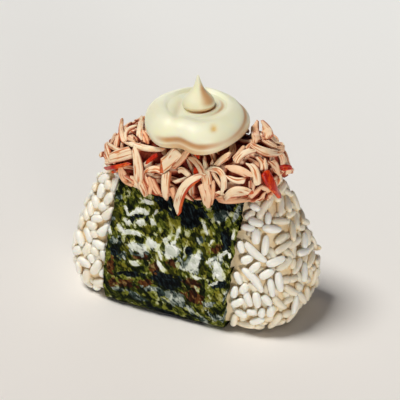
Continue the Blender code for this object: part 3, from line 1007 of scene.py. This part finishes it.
def flake_finish():
    """The crab's red skin: dark red, orange along its edges."""
    finish = Finish("crab_skin")
    finish.feed("Specular IOR Level", 0.3)
    streaks = finish.mottle((2.6, 1.0, 2.6), 3.0, 0.6, (0.6, 0.2, 0.5))
    tone, groove = finish.value("tone"), finish.value("groove")
    red = finish.mix(finish.step(streaks, 0.4, 0.62), (0.42, 0.006, 0.002), (0.74, 0.06, 0.006))
    orange = finish.mix(tone, (0.80, 0.15, 0.02), (0.88, 0.34, 0.07))
    edge = finish.step(groove * 0.7 + finish.value("flank") * 0.4 + (streaks - 0.5), 0.45, 0.8)
    finish.feed("Base Color", finish.mix(edge, red, orange))
    finish.feed("Roughness", 0.35)
    finish.relief(streaks, 0.15)
    return finish


def bundle_finish():
    """What shows between the shreds: packed crab, coloured dark red as painted deep shade."""
    finish = Finish("packed_crab")
    deep = finish.step(finish.mottle(3.0, 3.0), 0.4, 0.7)
    finish.feed("Base Color", finish.mix(deep, (0.20, 0.020, 0.013), (0.46, 0.09, 0.038)))
    finish.feed("Roughness", 0.7)
    finish.feed("Specular IOR Level", 0.2)
    finish.relief(finish.mottle((1.0, 1.0, 3.0), 3.0), 0.4)
    return finish


def make_shred_core():
    """The heap's shape, smaller by the shreds that cover it."""
    mesh = bmesh.new()
    mesh.from_mesh(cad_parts["shred_heap"].data)
    bmesh.ops.remove_doubles(mesh, verts=mesh.verts, dist=1e-6)
    bmesh.ops.subdivide_edges(mesh, edges=mesh.edges, cuts=1, use_grid_fill=True)
    mesh.normal_update()
    moves = []
    for vertex in mesh.verts:
        point = vertex.co / MM
        gap, _, _, to_rice = RICE.find_nearest(point)
        outer = smooth_step(0.6, 2.6, to_rice)
        inward = (gap - point).normalized()
        moves.append((vertex, point + (1.7 + 0.5 * lumps(point, 3.0, 7.0)) * outer * inward))
    for vertex, point in moves:
        vertex.co = point * MM
    data = bpy.data.meshes.new("shred_core")
    mesh.to_mesh(data)
    mesh.free()
    piece = place("shred_core", data, bundle_finish())
    serve(piece, "shredded_crab", "shred_heap")


def through(points, share):
    """A place on the smooth curve through two or three points."""
    if len(points) == 2:
        return points[0].lerp(points[1], share)
    first = (1.0 - share) * (1.0 - 2.0 * share)
    middle = 4.0 * share * (1.0 - share)
    last = share * (2.0 * share - 1.0)
    return first * points[0] + middle * points[1] + last * points[2]


def evened(numbers, passes):
    """A row of numbers or vectors with its inner ones blended with their neighbours several times over."""
    for _ in range(passes):
        inner = [0.25 * a + 0.5 * b + 0.25 * c for a, b, c in zip(numbers, numbers[1:], numbers[2:])]
        numbers = [numbers[0], *inner, numbers[-1]]
    return numbers


def pressed_path(corners, count):
    """A line seen from the shown side, pressed back on to the food: its points and facing directions."""
    flat = [through([Vector(corner) for corner in corners], k / (count - 1)) for k in range(count)]
    depths, facings = [], []
    for spot in flat:
        start = spot.x * SHOWN_RIGHT + spot.y * SHOWN_UP + 90.0 * SHOWN_BACK
        hit, normal, _, _ = OUTSIDE.ray_cast(start, -SHOWN_BACK)
        depths.append(None if hit is None else hit.dot(SHOWN_BACK))
        facings.append(SHOWN_BACK if hit is None else 0.45 * normal + 0.55 * SHOWN_BACK)
    found = [depth for depth in depths if depth is not None] or [0.0]
    for k, depth in enumerate(depths):
        if depth is None:
            depths[k] = depths[k - 1] if k and depths[k - 1] is not None else found[0]
    depths = [max(depths[max(0, k - 1) : k + 2]) for k in range(count)]
    depths, facings = evened(depths, 6), evened(facings, 6)
    path = [
        spot.x * SHOWN_RIGHT + spot.y * SHOWN_UP + depth * SHOWN_BACK for spot, depth in zip(flat, depths)
    ]
    return path, [facing.normalized() for facing in facings]


def followed_path(start, normal, heading, length, bend, count):
    """A line that follows the outside of the food both ways from a point."""
    halves = []
    for way in (-1.0, 1.0):
        point, out, course = start, normal, heading * way
        half = []
        for _ in range(count // 2):
            spot, out, _, _ = OUTSIDE.find_nearest(point + course * (length / count))
            course = (spot - point).normalized() if (spot - point).length > 1e-6 else course
            course = Matrix.Rotation(bend * way / count, 3, out) @ course
            point = spot
            half.append((spot, out))
        halves.append(half)
    line = [*reversed(halves[0]), (start, normal), *halves[1]]
    path = evened([point for point, _ in line], 3)
    return path, [out.normalized() for out in evened([out for _, out in line], 4)]


def skin_at(where, along, across):
    """How much of the red skin a place on a shred has."""
    return {
        "": 0.0,
        "left": smooth_step(-0.55, -0.9, across),
        "right": smooth_step(0.55, 0.9, across),
        "start": smooth_step(0.12, 0.03, along),
        "end": smooth_step(0.85, 0.97, along),
        "all": 1.0,
    }[where]


def girth_along(along, start_share, end_share):
    """A shred's width along it, 1 at its fullest, closed round at its ends."""
    body = 1.0 - (1.0 - start_share) * (1.0 - along) ** 2.2 - (1.0 - end_share) * along**2.2
    nearest_end = min(along, 1.0 - along)
    return body * math.sqrt(1.0 - (1.0 - min(1.0, nearest_end / 0.05)) ** 2 * 0.75)


def squared(value):
    """A cosine or a sine, with the circle's corners filled out a little."""
    return math.copysign(abs(value) ** 0.75, value)


def groove_at(across, travelled, width, offset):
    """1 in a groove between a shred's fibres and 0 on its ridges."""
    wave = noise.noise(Vector((1.1 * across * width, 0.08 * travelled, offset)))
    return smooth_step(0.22, 0.0, abs(wave))


def path_ways(path, facings, roll, k):
    """At one point of a path: the ways along it, across it and out of the food."""
    tangent = (path[min(k + 1, len(path) - 1)] - path[max(k - 1, 0)]).normalized()
    facing = Matrix.Rotation(roll, 3, tangent) @ facings[k]
    right = tangent.cross(facing).normalized()
    return tangent, right, right.cross(tangent).normalized()


def lay_shred(stock, path, facings, width, thickness, tone, skin, ends, section, dice, shade=0.0):
    """A flat ridged strip along a path, facing outwards. Its flank value is painted shade on its underside and
    on its edge that faces the shaded way, and is more where it lies deep in the heap.
    """
    offset, roll = dice.uniform(0.0, 50.0), dice.gauss(0.0, 0.22)
    shaded_edge = 1.0 if (path[-1] - path[0]).cross(facings[0]).dot(SHADED_WAY) > 0.0 else -1.0
    slants = (dice.uniform(-0.45, 0.45) * width, dice.uniform(-0.45, 0.45) * width)
    rings, travelled = [], 0.0
    for k, point in enumerate(path):
        tangent, right, out = path_ways(path, facings, roll, k)
        along = k / (len(path) - 1)
        girth = girth_along(along, *ends)
        slant = slants[0] * smooth_step(0.3, 0.0, along) + slants[1] * smooth_step(0.7, 1.0, along)
        travelled += 0.0 if k == 0 else (point - path[k - 1]).length
        ring = []
        for i in range(section):
            turn = math.tau * i / section
            height = math.sin(turn)
            across, rise = squared(math.cos(turn)), squared(height)
            groove = groove_at(across, travelled, width, offset)
            hollow = 1.0 - 0.38 * groove * (0.35 + 0.65 * abs(height))
            spot = point + 0.5 * girth * width * across * right + slant * across * tangent
            spot = spot + 0.5 * thickness * (0.35 + 0.65 * girth) * rise * hollow * out
            # Painted shade: on the underside and on the edge that faces the shaded way.
            under, edge = smooth_step(0.45, -0.4, height), smooth_step(0.2, 1.0, across * shaded_edge)
            numbers = {
                "tone": tone,
                "groove": groove,
                "flank": shade + 0.8 * under + 0.5 * edge,
                "skin": skin_at(skin, along, across),
                "along": travelled + offset,
                "across": across * 0.5 * width + offset,
            }
            ring.append(stock.add(spot, **numbers))
        rings.append(ring)
    stock.tube(rings)


def lay_by_hand(stock, rows, dice, thickness):
    """Shreds or flakes in the places that their rows give."""
    for width, lift, tone, skin, start_share, end_share, corners in rows:
        path, facings = pressed_path(corners, 20)
        path = [point + lift * SHOWN_BACK for point in path]
        thick = thickness * (0.75 + 0.1 * width)
        lay_shred(stock, path, facings, width, thick, tone, skin, (start_share, end_share), 28, dice)


def on_shown_side(normal):
    return normal.dot(SHOWN_BACK) > -0.3


def anywhere(normal):
    return 1.0


def off_shown_side(normal):
    return 0.0 if on_shown_side(normal) else 1.0


def outside_heap(point, normal):
    """Whether a face of the heap looks away from the rice that it lies on."""
    return normal.dot(point - RICE.find_nearest(point)[0]) >= 0.0


def under_mayo(point):
    return Vector((point.x - MAYO_MIDDLE.x, point.y - MAYO_MIDDLE.y)).length < MAYO_SHELTER


def lay_scattered(stock, dice, point, normal, heading, length, width, lift, shade):
    """One shred that follows the heap both ways from a point."""
    path, facings = followed_path(point, normal, heading, length, dice.gauss(0.0, 0.7), 12)
    lower = 0.9 * smooth_step(-0.75, -0.35, normal.dot(SHOWN_BACK)) if lift > 0.0 else 0.0
    path = [spot + (lift - lower + dice.uniform(-0.3, 0.5)) * facing for spot, facing in zip(path, facings)]
    path = evened(path, 2)
    skin = dice.choices(("", "left", "right", "start", "end"), weights=(16, 2, 2, 1, 1))[0]
    if on_shown_side(normal):
        skin = ""
    ends = (dice.uniform(0.35, 0.9), dice.uniform(0.35, 0.9))
    tone = min(1.0, max(0.0, dice.gauss(0.45, 0.3)))
    lay_shred(stock, path, facings, width, 1.5, tone, skin, ends, 18, dice, shade)


def scatter_shreds(stock, dice, tries, lift, closeness, most, wanted, shade):
    """A layer of shreds thrown on the heap, as many as find room and at most a number."""
    crowd = Crowd()
    laid = 0
    for point, normal in surface_samples(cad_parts["shred_heap"].data, tries, dice):
        if laid >= most:
            break
        if not outside_heap(point, normal) or dice.random() > wanted(normal):
            continue
        if under_mayo(point):
            continue
        normal = soft_normal(SHREDS, point, 2.5)
        if normal.length < 0.5:
            continue
        across = normal.orthogonal().normalized()
        heading = Matrix.Rotation(dice.uniform(0.0, math.tau), 3, normal) @ across
        length = min(13.0, max(5.0, dice.gauss(9.0, 1.8)))
        width = min(3.9, max(1.6, dice.gauss(2.6, 0.5)))
        spots = tuple(point + way * 0.35 * length * heading for way in (-1, 0, 1))
        if not crowd.room(spots, width, closeness):
            continue
        crowd.lay(spots, width)
        lay_scattered(stock, dice, point, normal, heading, length, width, lift, shade)
        laid += 1


def make_shreds():
    """The laid shreds of the shown side, a deep layer all round, and an outer one on the other sides."""
    dice = random.Random(7)
    stock = Stock(*SHRED_VALUES)
    lay_by_hand(stock, LAID_SHREDS, dice, 1.9)
    # The deep layer carries more painted shade.
    scatter_shreds(stock, dice, 2500, -0.8, 0.8, 150, anywhere, 0.2)
    scatter_shreds(stock, dice, 3500, 0.7, 0.9, 120, off_shown_side, 0.0)
    piece = stock.join("crab_shreds", shred_finish())
    serve(piece, "shredded_crab")


def make_flakes():
    dice = random.Random(5)
    stock = Stock(*SHRED_VALUES)
    lay_by_hand(stock, LAID_FLAKES, dice, 1.7)
    piece = stock.join("crab_skin_flakes", flake_finish())
    serve(piece, "shredded_crab")


# ---------------------------------------------------------------- mayonnaise

MAYO_TURNS = 144

# The body's side rolls over to its top at this share of its reach
SHOULDER = 0.6

# A ring of the side is numbered by how far round it lies, in radians from -pi/2 at the foot to pi/2 at the
# shoulder. A ring of the top has this number at the drop, and one more at the shoulder.
ON_TOP = 2.0

# The drop stands a little beside the middle of the folds round it, and its tip leans
DROP_SHIFT = Vector((0.4, -0.4, 0))
DROP_LEAN = Vector((-0.15, -0.2, 0))
DROP_FOOT = 4.7
DROP_HEIGHT = 10.1

# The drop's radius at each height above its seat
DROP_PROFILE = (
    (4.9, 0.1),
    (5.0, 0.5),
    (5.0, 1.0),
    (4.9, 1.6),
    (4.65, 2.25),
    (4.2, 2.95),
    (3.55, 3.65),
    (2.85, 4.35),
    (2.25, 5.05),
    (1.75, 5.8),
    (1.4, 6.55),
    (1.1, 7.3),
    (0.85, 8.05),
    (0.62, 8.8),
    (0.42, 9.5),
    (0.2, DROP_HEIGHT),
)


def mayo_finish():
    """Smooth pale cream, turned tan by painted warm shade in its folds, low on its rim and down the drop's
    shaded side, with a brown dimple.
    """
    finish = Finish("mayonnaise", Subsurface_Weight=0.6, Subsurface_Scale=4.0 * MM)
    finish.feed("Subsurface Radius", (1.0, 0.8, 0.4))
    finish.feed("Coat Weight", 0.08)
    finish.feed("Coat Roughness", 0.35)
    finish.feed("Specular IOR Level", 0.3)
    soft = finish.mottle(9.0, 1.0)
    cream = finish.mix(soft, (0.85, 0.82, 0.54), (0.88, 0.87, 0.70))
    # Painted warm shade: the warm value turns the cream tan.
    warm = finish.step(finish.value("warm") + (finish.mottle(3.0) - 0.5) * 0.12, 0.0, 1.0)
    tan = finish.mix(warm, cream, (0.62, 0.33, 0.13))
    finish.feed("Base Color", finish.mix(finish.value("spot"), tan, (0.74, 0.48, 0.13)))
    finish.feed("Roughness", 0.45 - soft * 0.05)
    finish.relief(finish.mottle(2.5, 2.0), 0.05)
    return finish


def evened_round(numbers, passes):
    """Numbers round a ring, each blended with its two neighbours several times over."""
    for _ in range(passes):
        before, after = numbers[-1:] + numbers[:-1], numbers[1:] + numbers[:1]
        numbers = [0.25 * a + 0.5 * b + 0.25 * c for a, b, c in zip(before, numbers, after)]
    return numbers


def mayo_direction(turn):
    """Level directions: 0 is to the shown right, and a quarter turn more is away from the shown side."""
    return Vector((math.cos(turn + SHOWN_AZIMUTH), math.sin(turn + SHOWN_AZIMUTH), 0))


def facing_share(turn, middle, spread):
    """1 in one direction of the body, falling to 0 at a spread either way, both in degrees."""
    away = abs((math.degrees(turn) - middle + 180.0) % 360.0 - 180.0)
    return smooth_step(spread, 0.0, away)


def fold_depth(turn):
    """The crease where the body has sagged over its own rim: deepest at the bay left of the front."""
    bay = 1.0 * facing_share(turn, -105, 48)
    return bay + 0.45 * facing_share(turn, -30, 75) + 0.4 * facing_share(turn, 15, 50)


def crease_level(turn):
    """How far up the side the crease runs: low along the front, climbing to the shoulder at the right."""
    return 0.12 + 0.75 * facing_share(turn, 18, 75)


def mayo_reach(direction):
    """How far the body goes from its middle in one direction, at its widest height."""
    reach = 0.0
    for step in range(30):
        start = Vector((MAYO_MIDDLE.x, MAYO_MIDDLE.y, MAYO_LOW.z + 0.3 * step + 0.05)) + 40.0 * direction
        hit = MAYO.ray_cast(start, -direction)[0]
        if hit is not None:
            reach = max(reach, 40.0 - (hit - start).length)
    return reach


def mayo_top(spot):
    return MAYO.ray_cast(Vector((spot.x, spot.y, 100.0)), -UP)[0].z


def mayo_foot(spot):
    return MAYO.ray_cast(Vector((spot.x, spot.y, 0.0)), UP)[0].z


def mayo_spans():
    """For each direction: the body's reach, the heights of its top and foot, and how much its foot sags."""
    reaches, tops, feet, sags = [], [], [], []
    for k in range(MAYO_TURNS):
        turn = math.tau * k / MAYO_TURNS
        direction = mayo_direction(turn)
        reach = mayo_reach(direction)
        wider = 1.0 + 0.07 * facing_share(turn, 10, 80) + 0.05 * facing_share(turn, 110, 80)
        higher = 1.8 * facing_share(turn, 90, 150)
        foot = mayo_foot(MAYO_MIDDLE + 0.8 * reach * direction)
        reaches.append(reach * wider)
        tops.append(mayo_top(MAYO_MIDDLE + (SHOULDER + 0.05) * reach * direction) + higher)
        feet.append(foot)
        sags.append(mayo_foot(MAYO_MIDDLE + 0.5 * reach * direction) - foot)
    return [evened_round(numbers, 6) for numbers in (reaches, tops, feet, sags)]


def side_ring(spans, side):
    """One ring of the rolled side, drawn in at the crease and sagging over the heap."""
    share = SHOULDER + (1.0 - SHOULDER) * abs(math.cos(side)) ** (0.62 if side > 0.0 else 0.5)
    rise = math.copysign(abs(math.sin(side)) ** 0.95, side)
    ring = []
    for i, (reach, top, foot, sag) in enumerate(spans):
        turn = math.tau * i / MAYO_TURNS
        groove = fold_depth(turn) * swell(side - crease_level(turn), 0.30)
        lower = 1.15 * sag * (share * share - 0.64) / 0.39
        z = 0.5 * (top + foot) + 0.5 * (top - foot) * rise
        ring.append((share * reach - groove, z - lower, side))
    return ring


def mayo_rings(reaches, tops, feet, sags):
    """Rings from the middle of the underside, round the side and in over the top: reach, height, number."""
    crown = MAYO.ray_cast(MAYO_MIDDLE + 9.0 * mayo_direction(math.pi) + 60.0 * UP, -UP)[0].z + 0.9
    spans = list(zip(reaches, tops, feet, sags))
    rings = []
    for share in (0.15, 0.4, 0.62):
        rings.append([(share * reach, foot + 0.3 * (1.0 - share), 0.0) for reach, foot in zip(reaches, feet)])
    for k in range(27):
        rings.append(side_ring(spans, math.pi * (k / 26 - 0.5)))
    for k in range(1, 36):
        inward = 1.0 - k / 36
        share, climb = SHOULDER * inward, math.sin(0.5 * math.pi * inward)
        heights = [crown + (top - crown) * climb for top in tops]
        rings.append([(share * reach, z, ON_TOP + inward) for reach, z in zip(reaches, heights)])
    return rings


def fold_painted_shade(turn, away):
    """Painted warm shade at the drop's foot and in the fold round it."""
    foot = swell(away - 4.9, 0.5) * facing_share(turn, -50, 140)
    fold = swell(away - 6.1, 0.6) * facing_share(turn, -25, 90)
    shade = swell(away - 7.5, 0.6) * facing_share(turn, -15, 75)
    return max(0.95 * foot, 0.45 * fold, 0.8 * shade)


def drop_painted_shade(turn, height):
    """Painted warm shade down the drop's shaded side and where it turns under at its foot, over a slight warm
    tint all over it.
    """
    side = facing_share(turn, -42, 62) * smooth_step(0.3, 2.5, height) * smooth_step(9.0, 5.5, height)
    under = smooth_step(1.4, 0.2, height) * facing_share(turn, -50, 150)
    return max(0.85 * side, 0.8 * under, 0.12)


def rim_painted_shade(turn, side):
    """Painted warm shade in the crease under the front, in the band below it, round the right end and low on
    the rim.
    """
    level = crease_level(turn)
    crease = swell(side - level, 0.24) * min(1.0, 1.6 * fold_depth(turn))
    under = smooth_step(level, level - 0.4, side) * smooth_step(-1.2, -0.6, side)
    under *= facing_share(turn, -105, 60)
    right_band = swell(side + 0.1, 0.4) * facing_share(turn, -35, 60)
    low = smooth_step(0.3, -0.4, side) * 0.4
    return max(0.95 * crease, 0.75 * under, 0.5 * right_band, low)


def mayo_marks(point, turn_round_peak, to_peak):
    """Small forms of the top: how far they stand up, how much painted warm shade lies in the valley left of
    the drop, and how brown the dimple is.
    """
    across, up = point.dot(SHOWN_RIGHT), point.dot(SHOWN_UP)
    rise = 0.25 * lumps(point, 7.0, 3.0)
    left_lobe = swell(math.hypot(across + 9.5, 1.7 * (up - 55.5)), 6.0)
    right_lobe = swell(math.hypot(across - 8.5, 1.6 * (up - 53.5)), 6.0)
    ring = swell(to_peak - 6.2, 0.8) * facing_share(turn_round_peak, -50, 120)
    valley = swell(across + 4.9 - 0.12 * (up - 58.0), 1.3) * smooth_step(50.0, 56.0, up)
    valley *= smooth_step(61.0, 58.5, up)
    dimple = swell(math.hypot(across - 5.6, up - 49.8), 1.0)
    rise += 0.5 * left_lobe + 0.4 * right_lobe + 0.5 * ring - 0.5 * valley - 0.4 * dimple
    return rise, 0.3 * valley, dimple


def body_point(reach, z, side, turn, peak):
    """A point of the body, with how much painted warm shade it has and how brown it is there."""
    point = Vector((MAYO_MIDDLE.x, MAYO_MIDDLE.y, z)) + reach * mayo_direction(turn)
    if side < 0.1:
        warm = rim_painted_shade(turn, side) if side > -1.5 else 0.0
        return point, warm, 0.0
    if side > ON_TOP:
        inner = peak + DROP_SHIFT + z * UP + DROP_FOOT * mayo_direction(turn)
        point = inner.lerp(point, side - ON_TOP)
    away = Vector((point.x - peak.x, point.y - peak.y, 0))
    turn_round_peak = math.atan2(away.y, away.x) - SHOWN_AZIMUTH
    rise, warm, brown = mayo_marks(point, turn_round_peak, away.length)
    if side < ON_TOP:
        warm = max(warm, rim_painted_shade(turn, side))
    warm = max(warm, fold_painted_shade(turn_round_peak, away.length))
    return point + smooth_step(0.1, 0.9, side) * rise * UP, warm, brown


def body_numbers(stock, peak):
    """Adds the body's points. Returns its rings of point numbers."""
    rings = []
    for ring in mayo_rings(*mayo_spans()):
        numbers = []
        for i, (reach, z, side) in enumerate(ring):
            point, warm, brown = body_point(reach, z, side, math.tau * i / MAYO_TURNS, peak)
            numbers.append(stock.add(point, warm=warm, spot=brown))
        rings.append(numbers)
    return rings


def drop_numbers(stock, peak, seat):
    """Adds the points of the drop that stands on its seat. Returns its rings of point numbers."""
    rings = []
    for radius, height in DROP_PROFILE:
        numbers = []
        for i in range(MAYO_TURNS):
            turn = math.tau * i / MAYO_TURNS
            point = peak + DROP_SHIFT + (seat + height) * UP + radius * mayo_direction(turn)
            point += (height / DROP_HEIGHT) ** 2 * DROP_LEAN
            numbers.append(stock.add(point, warm=drop_painted_shade(turn, height), spot=0.0))
        rings.append(numbers)
    return rings


def make_mayo():
    """One closed body with its drop, whose folds are centred close to the tip of the frame's node."""
    tip = max((vertex.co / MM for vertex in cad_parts["mayonnaise"].data.vertices), key=lambda p: p.z)
    peak = Vector((tip.x + 0.6, tip.y + 0.4, 0))
    stock = Stock("warm", "spot")
    rings = body_numbers(stock, peak)
    seat = sum(stock.points[i].z for i in rings[-1]) / MAYO_TURNS
    rings += drop_numbers(stock, peak, seat)
    stock.tube(rings)
    piece = stock.join("mayonnaise_dollop", mayo_finish())
    serve(piece, "mayonnaise", "mayonnaise")


# ---------------------------------------------------------------- stage

FLOOR_HALF = 3.0
CAMERA_TARGET = Vector((0.74, 1.93, 31.34)) * MM
CAMERA_DISTANCE = 0.4762


def make_floor():
    """A wide pale surface, a little lighter far off."""
    finish = Finish("pale_table", Roughness=0.9)
    finish.feed("Specular IOR Level", 0.1)
    far = finish.step(finish.axis("Y"), -180.0, 380.0)
    finish.feed("Base Color", finish.mix(far, (0.87, 0.825, 0.77), (0.96, 0.955, 0.92)))
    mesh = bpy.data.meshes.new("floor")
    corners = [(FLOOR_HALF * x, FLOOR_HALF * y, 0) for x, y in ((-1, -1), (1, -1), (1, 1), (-1, 1))]
    mesh.from_pydata(corners, [], [(0, 1, 2, 3)])
    place("floor", mesh, finish)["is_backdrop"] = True


def sunlight(name, strength, softness, turn, rise, color):
    """A soft light from a direction, given in degrees round and up."""
    lamp = bpy.data.lights.new(name, "SUN")
    lamp.energy = strength
    lamp.angle = math.radians(softness)
    lamp.color = color
    light = bpy.data.objects.new(name, lamp)
    turn, rise = math.radians(turn), math.radians(rise)
    towards = Vector((math.cos(turn) * math.cos(rise), math.sin(turn) * math.cos(rise), math.sin(rise)))
    light.rotation_mode = "QUATERNION"
    light.rotation_quaternion = towards.to_track_quat("Z", "Y")
    bpy.context.scene.collection.objects.link(light)


def make_lights():
    """A soft key from the upper left, a low fill on the right end, a faint light behind, and a blue sky."""
    sunlight("key", 2.65, 22, 200, 66, (1.0, 0.985, 0.955))
    sunlight("fill", 2.0, 12, 312, 2, (1.0, 0.98, 0.95))
    sunlight("back", 0.6, 40, 118, 2, (1.0, 0.985, 0.97))
    world = bpy.data.worlds.new("studio")
    world.use_nodes = True
    background = world.node_tree.nodes["Background"]
    background.inputs["Color"].default_value = (0.50, 0.60, 1.0, 1.0)
    background.inputs["Strength"].default_value = 0.05
    bpy.context.scene.world = world


def make_camera():
    """Looks at the shown side with a long lens."""
    data = bpy.data.cameras.new("camera")
    data.lens = 135
    data.sensor_width = 36
    camera = bpy.data.objects.new("camera", data)
    camera.location = CAMERA_TARGET + SHOWN_BACK * CAMERA_DISTANCE
    camera.rotation_mode = "QUATERNION"
    camera.rotation_quaternion = SHOWN_BACK.to_track_quat("Z", "Y")
    bpy.context.scene.collection.objects.link(camera)
    bpy.context.scene.camera = camera


def write_sizes():
    """The boxes of the frame and of this model, low and high corners in metres."""
    boxes = {"cad": cad_box, "visual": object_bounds()}
    {name: [list(corner) for corner in box] for name, box in boxes.items()}


make_camera()
make_rice_core()
make_grains()
make_nori()
make_shred_core()
make_shreds()
make_flakes()
make_mayo()
make_floor()
make_lights()
bpy.context.scene.view_settings.view_transform = "Standard"
write_sizes()
